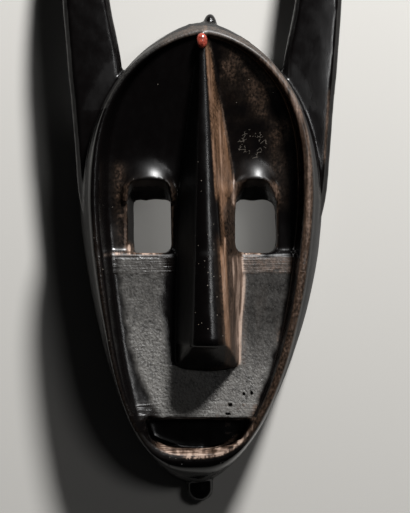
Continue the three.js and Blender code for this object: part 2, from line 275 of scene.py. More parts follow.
@dataclass(frozen=True)
class MaskForm:
    """The named sizes of the carved head and the heights they give, in millimetres."""

    outline: Egg = Egg(12, 359.6, 222, 91.5, 1.54, 0.535, 2.0, 0.613)
    crest: Egg = Egg(36, 344.5, 226, 76, 1.43, 0.346, 2.84, 0.61)
    left_crest: Egg = Egg(36, 344.5, 226, 79.5, 1.43, 0.3, 2.84, 0.61)
    chin_sway: float = -5.0
    sway_top: float = 170.0
    crest_height: float = 82.0
    crest_chin_drop: float = 20.0
    crest_drop_power: float = 8.0
    wall_bulge: float = 2.5
    lid_rise: float = 185.0
    lid_step: float = 3.2
    eye_band_height: float = 54.0
    forehead_start: float = 205.0
    forehead_power: float = 1.3
    forehead_top_drop: float = 2.0
    cheek_top: float = 58.0
    cheek_bottom: float = 67.0
    cheek_power: float = 1.7
    upper_lip_rise: float = 66.0
    lower_lip_rise: float = 44.0
    lower_lip_height: float = 54.0
    face_thickness: float = 13.0
    keel_top_rise: float = 345.0
    nose_tip_rise: float = 119.0
    nose_base_rise: float = 100.0
    nose_middle: tuple[float, float] = (-0.8, 3.2)
    ridge_height: tuple[float, float] = (83.5, 107.0)
    nose_half: tuple[float, float] = (1.4, 11.0)
    left_flank: float = 0.36
    right_flank: float = 0.41
    tip_flank: float = 0.27
    flank_bend: float = 0.76

    def crest_on(self, side: Side) -> Egg:
        """The crest of the rim on one side; it lies farther out on the left."""
        return self.left_crest if side is Side.LEFT else self.crest

    def sway(self, rise: Array) -> Array:
        """How far the chin leans to the left at a rise."""
        return self.chin_sway * smooth_step(1.0 - rise / self.sway_top)

    def crest_at(self, rise: Array) -> Array:
        """Height of the rim's crest.

        Args:
            rise: How far up the mask.

        Returns:
            The heights.
        """
        length = self.crest.crown - self.crest.chin
        share = np.clip((rise - self.crest.chin) / length, 0.0, 1.0)
        return self.crest_height - self.crest_chin_drop * (1.0 - share) ** self.crest_drop_power

    def recess_at(self, rise: Array) -> Array:
        """Height of the recessed forehead, cheeks and lower lip along the middle of the face.

        Args:
            rise: How far up the mask.

        Returns:
            The heights.
        """
        top = self.crest_height - self.forehead_top_drop
        up = np.clip((rise - self.forehead_start) / (self.crest.crown - self.forehead_start), 0, 1)
        forehead = mix(self.eye_band_height, top, up**self.forehead_power)
        down = (self.lid_rise - rise) / (self.lid_rise - self.upper_lip_rise)
        cheek = mix(self.cheek_top, self.cheek_bottom, np.clip(down, 0, 1) ** self.cheek_power)
        fall = (self.upper_lip_rise - rise) / (self.upper_lip_rise - self.lower_lip_rise)
        cheek = mix(cheek, self.lower_lip_height, smooth_step(fall))
        return mix(cheek, forehead, smooth_step((rise - self.lid_rise) / self.lid_step))

    def nose_share(self, rise: Array) -> Array:
        """0 at the top of the keel and 1 at the nose tip.

        Args:
            rise: How far up the mask.

        Returns:
            The shares.
        """
        length = self.keel_top_rise - self.nose_tip_rise
        return np.clip((self.keel_top_rise - rise) / length, 0.0, 1.0)

    def nose_at(self, rise: Array) -> tuple[Array, Array, Array]:
        """Middle, ridge height and half width of the nose at a rise."""
        share = self.nose_share(rise)
        return mix(*self.nose_middle, share), mix(*self.ridge_height, share), mix(*self.nose_half, share)

    def flank_at(self, rise: Array, right: bool | Array) -> Array:
        """How far a flank of the nose runs out for each millimetre that it falls.

        Args:
            rise: How far up the mask.
            right: Whether it is the right flank.

        Returns:
            Millimetres out for each millimetre down.
        """
        share = self.nose_share(rise)
        steepening = smooth_step((share - self.flank_bend) / (1.0 - self.flank_bend))
        left_slope = mix(self.left_flank, self.tip_flank, share)
        return np.where(right, mix(self.right_flank, self.tip_flank, steepening), left_slope)


FORM = MaskForm()


# Blender steps


def clear_selection() -> None:
    """Deselects everything, because an operator acts on all that is selected."""
    for item in bpy.context.view_layer.objects:
        item.select_set(False)


def pick(piece: bpy.types.Object) -> bpy.types.Object:
    """Makes a piece the only selected one and the active one.

    Args:
        piece: The piece to work on.

    Returns:
        The same piece.
    """
    clear_selection()
    piece.select_set(True)
    bpy.context.view_layer.objects.active = piece
    return piece


def named(name: str) -> bpy.types.Object:
    """Names the piece that an operator has just added, and its mesh.

    Args:
        name: The new name.

    Returns:
        The piece.
    """
    piece = bpy.context.view_layer.objects.active
    piece.name = name
    piece.data.name = name
    return piece


def read_places(piece: bpy.types.Object) -> Array:
    """A piece's vertices as rows of three, in millimetres.

    Args:
        piece: The piece to read.

    Returns:
        Its vertices' places.
    """
    places = np.empty(len(piece.data.vertices) * 3)
    piece.data.vertices.foreach_get("co", places)
    return places.reshape(-1, 3) / METRES


def write_places(piece: bpy.types.Object, places: Array) -> None:
    """Puts a piece's vertices at rows of three, in millimetres."""
    piece.data.vertices.foreach_set("co", (places * METRES).ravel())
    piece.data.update()


def read_normals(piece: bpy.types.Object) -> Array:
    """A piece's vertex normals as rows of three.

    Args:
        piece: The piece to read.

    Returns:
        Its vertices' normals.
    """
    normals = np.empty(len(piece.data.vertices) * 3)
    piece.data.vertex_normals.foreach_get("vector", normals)
    return normals.reshape(-1, 3)


def apply_modifier(piece: bpy.types.Object, kind: str, **settings: object) -> None:
    """Adds a modifier with its settings and applies it.

    Args:
        piece: The piece to change.
        kind: The modifier's type.
        settings: Its own properties.
    """
    pick(piece)
    modifier = piece.modifiers.new(kind.lower(), kind)
    for key, value in settings.items():
        setattr(modifier, key, value)
    bpy.ops.object.modifier_apply(modifier=modifier.name)


def drape(name: str, rows: Array) -> bpy.types.Object:
    """Lays a grid over rows of sections, joins its two long edges and closes its ends.

    Args:
        name: The piece's name.
        rows: Places in millimetres, as rows of sections of points of three.

    Returns:
        The closed body, with its faces pointing out.
    """
    row_count, column_count = rows.shape[:2]
    looped = np.concatenate([rows, rows[:, :1]], axis=1)
    clear_selection()
    bpy.ops.mesh.primitive_grid_add(x_subdivisions=column_count, y_subdivisions=row_count - 1, size=1)
    piece = named(name)
    write_places(piece, looped.reshape(-1, 3))
    bpy.ops.object.mode_set(mode="EDIT")
    bpy.ops.mesh.select_all(action="SELECT")
    bpy.ops.mesh.remove_doubles(threshold=0.02 * METRES)
    bpy.ops.mesh.select_all(action="DESELECT")
    bpy.ops.mesh.select_mode(type="EDGE")
    bpy.ops.mesh.select_non_manifold(use_wire=False, use_multi_face=False, use_verts=False)
    bpy.ops.mesh.fill_holes(sides=0)
    bpy.ops.mesh.select_mode(type="VERT")
    bpy.ops.mesh.select_all(action="SELECT")
    bpy.ops.mesh.normals_make_consistent(inside=False)
    bpy.ops.object.mode_set(mode="OBJECT")
    return piece


def add_ball(name: str, centre: Triple, radii: Triple, segments: int, rings: int) -> bpy.types.Object:
    """Makes an egg-shaped body from a sphere.

    Args:
        name: The piece's name.
        centre: Its middle, in millimetres.
        radii: Its reach from the middle along each direction, in millimetres.
        segments: How many faces run round it.
        rings: How many faces run from pole to pole.

    Returns:
        The body.
    """
    clear_selection()
    bpy.ops.mesh.primitive_uv_sphere_add(segments=segments, ring_count=rings, radius=1.0)
    piece = named(name)
    write_places(piece, read_places(piece) * METRES * np.array(radii) + np.array(centre))
    return piece


def combine(body: bpy.types.Object, tool: bpy.types.Object, operation: str) -> None:
    """Joins a tool body to a body, or cuts it away, and removes the tool.

    Args:
        body: The piece that stays.
        tool: The piece that is used up.
        operation: UNION or DIFFERENCE.
    """
    apply_modifier(body, "BOOLEAN", object=tool, operation=operation, solver="MANIFOLD")
    bpy.data.objects.remove(tool)


# Sub-assemblies


@dataclass
class HeadShell:
    """The egg-shaped head: outer wall, rim, recessed face and the hollow behind it."""

    rows: int = 300
    wall_points: int = 40
    rim_points: int = 22
    face_points: int = 110
    hollow_points: int = 26
    ceiling_points: int = 44
    mouth_sink: float = 4.5
    sink_start: float = 70.0
    sink_fade: float = 26.0
    foot_left: float = 10.0
    foot_right: float = 6.0
    foot_chin: float = 5.5
    foot_crown: float = 2.5
    rim_rounding_width: float = 3.0
    rim_rounding_share: float = 0.05
    face_dish: float = 2.5
    hollow_mouth: tuple[float, float, float] = (13, 18, 13)
    hollow_waist: tuple[float, float, float] = (16, 26, 18)
    hollow_ceiling: tuple[float, float, float] = (31, 71, 31)
    waist_height: float = 30.0

    def foot(self, side: Side, share: float = 1.0) -> Egg:
        """The curve where the rim's inner wall meets the face, or one on the way down to it."""
        reach = self.foot_left if side is Side.LEFT else self.foot_right
        return FORM.crest_on(side).inset(reach * share, self.foot_chin * share, self.foot_crown * share)

    def face_height(self, rise: Array, across: Array, share: Array) -> Array:
        """Height of the face, which rises a little towards its edges."""
        dish = self.face_dish * smooth_step(1.0 - share)
        return FORM.recess_at(rise) + dish * np.minimum(np.abs(across), 1.0) ** 2

    def outer_wall(self, side: Side, share: Array) -> list[Array]:
        """Columns of points from the back rim up to the crest.

        Args:
            side: Which half of the head.
            share: Shares of the way from chin to crown.

        Returns:
            The columns, each with a point for every share.
        """
        outer_half, outer_rise = FORM.outline.points(share)
        inner_half, inner_rise = FORM.crest_on(side).points(share)
        columns = []
        for step in np.linspace(0.0, 1.0, self.wall_points):
            inward = 1.0 - (1.0 - step) ** 1.5
            rise = mix(outer_rise, inner_rise, inward)
            x = side.value * mix(outer_half, inner_half, inward) + FORM.sway(rise)
            height = (1.0 - (1.0 - inward) ** FORM.wall_bulge) * FORM.crest_at(inner_rise)
            columns.append(np.stack([x, rise, height], axis=1))
        return columns

    def inner_wall(self, side: Side, share: Array) -> list[Array]:
        """Columns of points from the rounded crest down to the face.

        Args:
            side: Which half of the head.
            share: Shares of the way from chin to crown.

        Returns:
            The columns, each with a point for every share.
        """
        width = self.foot_left if side is Side.LEFT else self.foot_right
        rounding = self.rim_rounding_width / width
        columns = []
        for step in np.linspace(0.0, 1.0, self.rim_points)[1:]:
            half, rise = self.foot(side, step).points(share)
            top = self.rim_rounding_share * min(step / rounding, 1.0) ** 2
            fall = smooth_step((step - rounding) / (1.0 - rounding))
            depth = top + (1.0 - self.rim_rounding_share) * fall
            height = mix(FORM.crest_at(rise), self.face_height(rise, np.ones_like(rise), share), depth)
            columns.append(np.stack([side.value * half + FORM.sway(rise), rise, height], axis=1))
        return columns

    def face(self, share: Array) -> list[Array]:
        """Columns of points across the face, from its left edge to its right.

        Args:
            share: Shares of the way from chin to crown.

        Returns:
            The columns, each with a point for every share.
        """
        columns = []
        for across in np.linspace(-1.0, 1.0, self.face_points)[1:-1]:
            side = Side.LEFT if across < 0 else Side.RIGHT
            half, rise = self.foot(side).points(share)
            height = self.face_height(rise, across, share)
            columns.append(np.stack([across * half + FORM.sway(rise), rise, height], axis=1))
        return columns

    def ceiling_height(self, rise: Array) -> Array:
        """How high the hollow reaches behind the face, kept lower under the mouth's slot."""
        sunk = self.mouth_sink * (1.0 - smooth_step((rise - self.sink_start) / self.sink_fade))
        return FORM.recess_at(rise) - FORM.face_thickness - sunk

    def hollow_wall(self, side: Side, share: Array) -> list[Array]:
        """Columns of points from the flat rim up the inside of the wall to the ceiling.

        Args:
            side: Which half of the head.
            share: Shares of the way from chin to crown.

        Returns:
            The columns, each with a point for every share.
        """
        insets = (self.hollow_mouth, self.hollow_waist, self.hollow_ceiling)
        mouth, waist, ceiling = (np.array(inset, float) for inset in insets)
        pull = 2.0 * waist - (mouth + ceiling) / 2.0
        columns = []
        for step in np.linspace(0.0, 1.0, self.hollow_points):
            inset = (1 - step) ** 2 * mouth + 2 * step * (1 - step) * pull + step**2 * ceiling
            half, rise = FORM.outline.inset(*inset).points(share)
            top = self.ceiling_height(rise)
            middle = 2.0 * self.waist_height - top / 2.0
            height = 2 * step * (1 - step) * middle + step**2 * top
            columns.append(np.stack([side.value * half + FORM.sway(rise), rise, height], axis=1))
        return columns

    def ceiling(self, share: Array) -> list[Array]:
        """Columns of points across the back of the face, from left to right.

        Args:
            share: Shares of the way from chin to crown.

        Returns:
            The columns, each with a point for every share.
        """
        columns = []
        half, rise = FORM.outline.inset(*self.hollow_ceiling).points(share)
        height = self.ceiling_height(rise)
        for across in np.linspace(-1.0, 1.0, self.ceiling_points)[1:-1]:
            columns.append(np.stack([across * half + FORM.sway(rise), rise, height], axis=1))
        return columns

    def build(self) -> bpy.types.Object:
        """Makes the head as one closed body.

        Returns:
            The closed body.
        """
        share = (1.0 - np.cos(np.linspace(0.0, math.pi, self.rows))) / 2.0
        left = self.outer_wall(Side.LEFT, share) + self.inner_wall(Side.LEFT, share)
        right = self.outer_wall(Side.RIGHT, share) + self.inner_wall(Side.RIGHT, share)
        back = self.hollow_wall(Side.RIGHT, share) + self.ceiling(share)[::-1]
        back += self.hollow_wall(Side.LEFT, share)[::-1]
        columns = left + self.face(share) + right[::-1] + back
        rows = np.stack(columns, axis=1)
        rows[:, :, 1] -= HALF_LENGTH
        return drape("head_shell", rows)


@dataclass
class NoseBeam:
    """The keel of the forehead and the long nose, one beam with a half-round front."""

    crowning: float = 7.5
    front_turn: float = 75.0
    edge_reach: float = 1.6
    tip_round: float = 6.0
    tip_lead: float = 1.0
    steps: int = 180
    tip_steps: int = 14
    buried: float = 6.5
    clearance: float = 1.0

    def section(self, rise: float, drop: float) -> Array:
        """One cross section, from the left flank over the front to the right flank.

        Args:
            rise: How far up the mask.
            drop: How far the front is lowered, at the tip's end.

        Returns:
            The section's points.
        """
        place = np.array(rise)
        x, height, half_width = (float(value) for value in FORM.nose_at(place))
        crowning = self.crowning * float(FORM.nose_share(place))
        back = float(FORM.recess_at(place)) - self.buried
        limit = math.radians(self.front_turn)
        turn = np.linspace(-limit, limit, 33)
        front = np.sin(turn) / math.sin(limit)
        fall = drop + crowning * (1.0 - np.cos(turn)) / (1.0 - math.cos(limit))
        slope = FORM.flank_at(place, turn > 0.0)
        front_u = front * half_width + np.sign(turn) * slope * fall * np.abs(front)
        down = np.linspace(0.0, 1.0, 16)[1:]
        flank_z = mix(height - fall[-1], back, down)
        fallen = height - flank_z
        flanks = [half_width + float(FORM.flank_at(place, right)) * fallen for right in (False, True)]
        u = np.concatenate([-flanks[0][::-1], front_u, flanks[1]])
        z = np.concatenate([flank_z[::-1], height - fall, flank_z])
        u, z = rounded(u, z, self.edge_reach)
        return np.stack([x + u, np.full_like(u, rise - HALF_LENGTH), z], axis=1)

    def build(self) -> bpy.types.Object:
        """Makes the nose as one closed body, its tip rounded over to the sloping underside.

        Returns:
            The closed body.
        """
        rises = np.linspace(FORM.keel_top_rise, FORM.nose_tip_rise + self.tip_round, self.steps)
        sections = [self.section(rise, 0.0) for rise in rises]
        for turn in np.linspace(0.0, math.pi / 2, self.tip_steps)[1:]:
            reach = self.tip_round + self.tip_lead
            rise = FORM.nose_tip_rise + self.tip_round - reach * math.sin(turn)
            sections.append(self.section(rise, self.tip_round * (1.0 - math.cos(turn))))
        base = np.array(FORM.nose_base_rise)
        depth = float(FORM.nose_at(base)[1] - FORM.recess_at(base)) + self.clearance
        for step in np.linspace(0.0, 1.0, self.tip_steps)[1:]:
            rise = mix(FORM.nose_tip_rise - self.tip_lead, FORM.nose_base_rise, step)
            sections.append(self.section(rise, mix(self.tip_round, depth, step)))
        return drape("nose_beam", np.stack(sections))


@dataclass
class BrowHood:
    """The hood over an eye socket: a slope up to a sharp edge, rimmed by a bead bent to an arch."""

    x: float
    half_span: float
    crown_rise: float = 240.9
    foot_rise: float = 223.0
    crown_height: float = 62.3
    foot_height: float = 56.2
    shoulder: float = 0.62
    radius: float = 2.5
    foot_radius: float = 3.0
    relief: float = 7.0
    reach: float = 20.0
    spread: float = 1.35
    overlap: float = 0.4
    sunk: float = 6.0

    def arch(self, steps: int = 60) -> Array:
        """The line of the arch from foot to foot, as rows of x and rise.

        Args:
            steps: How many points the line has.

        Returns:
            The points.
        """
        turn = np.linspace(0.0, math.pi, steps)
        rise = mix(self.foot_rise, self.crown_rise, np.sin(turn).clip(0.0) ** self.shoulder)
        return np.stack([self.x - np.cos(turn) * self.half_span, rise], axis=1)

    def build_bulk(self) -> bpy.types.Object:
        """Makes the slope behind the edge, highest over the eye and running out into the forehead.

        Returns:
            The closed body.
        """
        across = np.linspace(-1.0, 1.0, 60)
        x = self.x + across * self.half_span * self.spread
        span = np.clip(1.0 - (across * self.spread) ** 2, 0.0, 1.0) ** (self.shoulder / 2)
        edge = mix(self.foot_rise, self.crown_rise, span)
        sections = []
        for rise in np.linspace(self.foot_rise, self.crown_rise + self.reach, 50):
            back = np.clip((rise - edge) / self.reach, 0.0, 1.0)
            base = float(FORM.recess_at(np.array(rise))) - self.overlap
            z = base + (self.relief + self.overlap) * (1.0 - back) ** 2 * (1.0 - across**2)
            loop_x = np.concatenate([x, x[::-1]])
            loop_z = np.concatenate([z, np.full_like(x, base - self.sunk)])
            sections.append(np.stack([loop_x, np.full_like(loop_x, rise - HALF_LENGTH), loop_z], axis=1))
        return drape("brow_bulk", np.stack(sections))

    def build_bead(self) -> bpy.types.Object:
        """Makes the bead of the arch, which thins towards its feet.

        Returns:
            The closed body.
        """
        around = np.linspace(0.0, 2 * math.pi, 20, endpoint=False)
        line = self.arch()
        sections = []
        for (x, rise), turn in zip(line, np.linspace(0.0, math.pi, len(line))):
            risen = math.sin(turn) ** 0.7
            radius = mix(self.foot_radius, self.radius, risen)
            out, up = radius * np.cos(around), radius * np.sin(around)
            z = mix(self.foot_height, self.crown_height, risen) + up
            places = [x - out * math.cos(turn), rise - HALF_LENGTH + out * math.sin(turn), z]
            sections.append(np.stack(places, axis=1))
        return drape("brow_bead", np.stack(sections))


@dataclass
class Ear:
    """A tall ear, a plank with flat bevelled edges and a rounded tip."""

    side: Side
    stations: tuple[tuple[float, ...], ...] = (
        (192, 78, 4, 47, 12),
        (225, 80, 10, 46.5, 18),
        (255, 79, 14, 46, 21),
        (298, 77.7, 18.5, 46, 22),
        (325, 79.3, 19.6, 46, 21),
        (371, 85.2, 17.2, 45, 19),
        (418, 88, 15.2, 43, 16),
        (450, 88.6, 12, 41, 13),
    )
    steps: int = 150
    tip_steps: int = 24
    tip_turn: float = 1.45
    tip_lean: float = 2.0
    tip_thinning: float = 0.6
    bevel: float = 4.0
    bevel_share: float = 0.35
    front_crown: float = 0.8

    def section(self, rise: float, x: float, half: float, height: float, thick: float) -> Array:
        """One cross section across the ear, a rectangle with bevelled corners.

        Args:
            rise: How far up the mask.
            x: Its middle, out from the middle of the mask.
            half: Half of its width.
            height: Its middle above the back rim.
            thick: Its thickness.

        Returns:
            The section's points.
        """
        bevel = min(self.bevel, half * self.bevel_share, thick * self.bevel_share)
        corners = [
            (-half, -thick / 2 + bevel),
            (-half + bevel, -thick / 2),
            (half - bevel, -thick / 2),
            (half, -thick / 2 + bevel),
            (half, thick / 2 - bevel),
            (half - bevel, thick / 2),
            (-half + bevel, thick / 2),
            (-half, thick / 2 - bevel),
        ]
        counts = (4, 16, 4, 5, 4, 16, 4, 5)
        points = []
        for index, count in enumerate(counts):
            start, end = np.array(corners[index]), np.array(corners[(index + 1) % len(corners)])
            for step in range(count):
                points.append(mix(start, end, step / count))
        loop = np.array(points)
        swell = self.front_crown * (1.0 - (loop[:, 0] / half) ** 2)
        loop[:, 1] += np.where(loop[:, 1] > thick / 2 - 1e-6, swell, 0.0)
        x_places = self.side.value * (x + loop[:, 0])
        return np.stack([x_places, np.full(len(loop), rise - HALF_LENGTH), height + loop[:, 1]], axis=1)

    def along(self, share: float) -> Array:
        """The station at a share of the way from the root to the shoulder, on a smooth curve.

        Args:
            share: 0 at the root and 1 at the shoulder.

        Returns:
            Rise, x, half width, height and thickness.
        """
        stations = np.array(self.stations, float)
        place = share * (len(stations) - 1)
        index = min(int(place), len(stations) - 2)
        t = place - index
        before = stations[max(index - 1, 0)]
        start, end = stations[index], stations[index + 1]
        after = stations[min(index + 2, len(stations) - 1)]
        slope_in, slope_out = (end - before) / 2, (after - start) / 2
        return (
            (2 * t**3 - 3 * t**2 + 1) * start
            + (t**3 - 2 * t**2 + t) * slope_in
            + (3 * t**2 - 2 * t**3) * end
            + (t**3 - t**2) * slope_out
        )

    def build(self) -> bpy.types.Object:
        """Makes the ear as one closed body, its root buried in the head's side.

        Returns:
            The closed body.
        """
        sections = [self.section(*self.along(i / self.steps)) for i in range(self.steps + 1)]
        rise, x, half, height, thick = self.stations[-1]
        for i in range(1, self.tip_steps + 1):
            end = i / self.tip_steps
            turn = self.tip_turn * end
            tip_rise = mix(rise, 2 * HALF_LENGTH, math.sin(turn) / math.sin(self.tip_turn))
            tip_half = half * math.cos(turn) ** 0.8
            tip_thick = thick * mix(1.0, self.tip_thinning, end)
            tip_x, tip_height = x - self.tip_lean * end**2, height - self.tip_lean * end
            sections.append(self.section(tip_rise, tip_x, tip_half, tip_height, tip_thick))
        return drape(f"ear_{self.side.name.lower()}", np.stack(sections))


@dataclass
class Lugs:
    """The small lug behind the crown and the stub under the chin."""

    crown: tuple[float, float, float] = (6.0, 354.0, 26.0)
    crown_radii: tuple[float, float, float] = (5.3, 10.0, 7.0)
    chin_x: float = -1.0
    chin_radius: float = 9.8
    chin_length: float = 14.0
    chin_reach: float = 34.0
    chin_waist: float = 0.22
    chin_height: float = 13.0
    chin_flat: float = 0.75

    def build_crown(self) -> bpy.types.Object:
        """Makes the crown lug from a sphere."""
        x, rise, height = self.crown
        return add_ball("crown_lug", (x, rise - HALF_LENGTH, height), self.crown_radii, 40, 24)

    def build_chin(self) -> bpy.types.Object:
        """Makes the chin stub: a round end on a slightly waisted neck.

        Returns:
            The closed body.
        """
        sections = []
        around = np.linspace(0.0, 2 * math.pi, 40, endpoint=False)
        for step in np.linspace(0.02, 1.0, 40):
            rise = self.chin_reach * step**1.4
            cap = math.sqrt(max(1.0 - max(1.0 - rise / self.chin_radius, 0.0) ** 2, 0.0))
            neck = 1.0 + self.chin_waist * max((rise - self.chin_length) / self.chin_length, 0.0) ** 2
            radius = self.chin_radius * cap * neck
            x = self.chin_x + radius * np.cos(around)
            height = self.chin_height + radius * self.chin_flat * np.sin(around)
            sections.append(np.stack([x, np.full_like(x, rise - HALF_LENGTH), height], axis=1))
        return drape("chin_lug", np.stack(sections))


@dataclass
class EyeOpening:
    """A rounded hole straight through the face, its top wall sloping forward to the socket's arch."""

    x: float
    width: float
    outer_flare: float
    bottom: float = 186.0
    top: float = 224.5
    corners: tuple[float, float, float, float] = (7.5, 7.5, 7.5, 7.5)
    tilt: float = 0.0
    arch_x: float = 0.0
    arch_half: float = 15.0
    narrowing: float = 0.2
    socket_top: float = 242.0
    back_height: float = 44.0
    front_height: float = 68.0
    cut_from: float = -5.0
    cut_to: float = 120.0
    flare_speed: float = 2.2

    def brow(self) -> BrowHood:
        """The hood over this eye."""
        return BrowHood(x=self.arch_x, half_span=self.arch_half)

    def outline(self, points: int = 12) -> Array:
        """The hole's rounded rectangle, as rows of across and rise.

        Args:
            points: How many points each corner has.

        Returns:
            The points, all the way round.
        """
        half = self.width / 2
        places = ((half, self.top), (-half, self.top), (-half, self.bottom), (half, self.bottom))
        loop = []
        for quarter, ((x, rise), radius) in enumerate(zip(places, self.corners)):
            across = x - math.copysign(radius, x)
            along = rise - radius if rise == self.top else rise + radius
            for turn in np.linspace(quarter, quarter + 1, points) * math.pi / 2:
                loop.append((across + radius * math.cos(turn), along + radius * math.sin(turn)))
        return np.array(loop)

    def build(self) -> bpy.types.Object:
        """Makes the body that is cut away.

        Returns:
            The body that is cut away.
        """
        loop = self.outline()
        outward = math.copysign(1.0, self.x)
        up = (loop[:, 1] - self.bottom) / (self.top - self.bottom)
        across = outward * loop[:, 0] / (self.width / 2)
        sections = []
        for height in (self.cut_from, *np.linspace(self.back_height, self.front_height, 10), self.cut_to):
            reach = (height - self.back_height) / (self.front_height - self.back_height)
            opened = float(np.clip(reach, 0.0, 1.0))
            arch = (self.socket_top - self.top) * opened * up**2
            flare = self.outer_flare * min(self.flare_speed * opened, 1.0) * np.maximum(across, 0.0)
            x = self.x + loop[:, 0] + outward * flare
            x = mix(x, self.arch_x, self.narrowing * opened * up.clip(0.0) ** 3)
            rise = loop[:, 1] + arch + self.tilt * loop[:, 0] * up
            sections.append(np.stack([x, rise - HALF_LENGTH, np.full_like(x, height)], axis=1))
        return drape("eye_cut", np.stack(sections))


@dataclass
class MouthSlot:
    """The blind slot of the mouth, straight above and a crescent below."""

    x: float = -4.3
    floor: float = 50.0
    top_half: float = 38.4
    corner_half: float = 33.7
    corner_rise: float = 50.6
    bottom_rise: float = 41.8
    top_rise: float = 66.0
    floor_shrink: float = 0.93
    floor_round: float = 3.0
    cut_to: float = 120.0

    def build(self) -> bpy.types.Object:
        """Makes the body that is cut away, a little wider towards the front.

        Returns:
            The body that is cut away.
        """
        across = np.linspace(-1.0, 1.0, 60)
        dip = self.corner_rise - (self.corner_rise - self.bottom_rise) * (1.0 - across**2)
        low = np.stack([across * self.corner_half, dip], axis=1)
        upper = np.linspace(1.0, -1.0, 40)
        high = np.stack([upper * self.top_half, np.full(len(upper), self.top_rise)], axis=1)
        loop = np.concatenate([low, high])
        sections = []
        middle_rise = (self.top_rise + self.corner_rise) / 2
        steps = ((self.floor, self.floor_shrink), (self.floor + self.floor_round, 1.0), (self.cut_to, 1.0))
        for height, grow in steps:
            x = self.x + loop[:, 0] * grow
            rise = middle_rise + (loop[:, 1] - middle_rise) * grow
            sections.append(np.stack([x, rise - HALF_LENGTH, np.full_like(x, height)], axis=1))
        return drape("mouth_cut", np.stack(sections))


@dataclass
class NoseHollow:
    """The room for a wearer's nose, cut into the back of the face."""

    centre: tuple[float, float, float] = (1.5, 163.0, 42.0)
    radii: tuple[float, float, float] = (15.0, 48.0, 26.0)

    def build(self) -> bpy.types.Object:
        """Makes the body that is cut away."""
        x, rise, height = self.centre
        return add_ball("nose_hollow", (x, rise - HALF_LENGTH, height), self.radii, 64, 40)


@dataclass
class FaceMap:
    """Where each place on the carving lies, told from its place and the way it faces."""

    places: Array
    normals: Array
    x: Array = field(init=False)
    rise: Array = field(init=False)
    height: Array = field(init=False)
    facing: Array = field(init=False)
    wall_width: float = 8.0
    ceiling_drop: float = 6.0
    ear_root_rise: float = 225.0
    ear_top_height: float = 59.0

    def __post_init__(self) -> None:
        """Splits the places into x, rise and height."""
        self.x = self.places[:, 0]
        self.rise = self.places[:, 1] + HALF_LENGTH
        self.height = self.places[:, 2]
        self.facing = self.normals[:, 2]

    def front(self) -> Array:
        """One on the front of the mask and 0 in the hollow behind it.

        Returns:
            A 1 or a 0 for each place.
        """
        half = FORM.outline.half_at(self.rise)
        inside = half - np.abs(self.x - FORM.sway(self.rise))
        ceiling = FORM.recess_at(self.rise) - self.ceiling_drop
        behind = (inside > self.wall_width) & (self.height < ceiling) & (self.facing < 0.25)
        under = self.facing < -0.6
        return np.where(behind | under, 0.0, 1.0)

    def from_crest(self) -> Array:
        """Distance in from the crest of the rim seen from the front, negative outside it.

        Returns:
            The distances, in millimetres.
        """
        lines, across = [], self.x - FORM.sway(self.rise)
        for side in Side:
            half, rise = FORM.crest_on(side).points((1.0 - np.cos(np.linspace(0.0, math.pi, 300))) / 2.0)
            lines.append(np.stack([FORM.sway(rise) + side.value * half, rise], axis=1))
        away = distance_from(self.x, self.rise, np.concatenate(lines))
        half = np.where(across < 0, FORM.left_crest.half_at(self.rise), FORM.crest.half_at(self.rise))
        return np.where(np.abs(across) < half, away, -away)

    def ears(self) -> Array:
        """One on the ears and 0 elsewhere."""
        beyond = np.abs(self.x) > np.maximum(FORM.outline.half_at(self.rise) - 6.0, 12.0)
        return (beyond & (self.height < self.ear_top_height) & (self.rise > self.ear_root_rise)).astype(float)

    def nose_flank(self) -> tuple[Array, Array, Array]:
        """Where a place lies on the nose.

        Returns:
            The distance out from the edge of its front, the same as a share of the flank's width,
            and whether it lies on the right.
        """
        x, ridge, half = FORM.nose_at(self.rise)
        right = self.x > x
        width = FORM.flank_at(self.rise, right) * np.maximum(ridge - FORM.recess_at(self.rise), 1.0)
        below = np.maximum(FORM.nose_base_rise + 4.0 - self.rise, 0.0)
        out = np.abs(self.x - x) - half + 6.0 * below
        return out, out / width, right

    def arch_distance(self, brow: BrowHood) -> Array:
        """Distance from the line of a brow's arch, seen from the front."""
        return distance_from(self.x, self.rise, brow.arch())


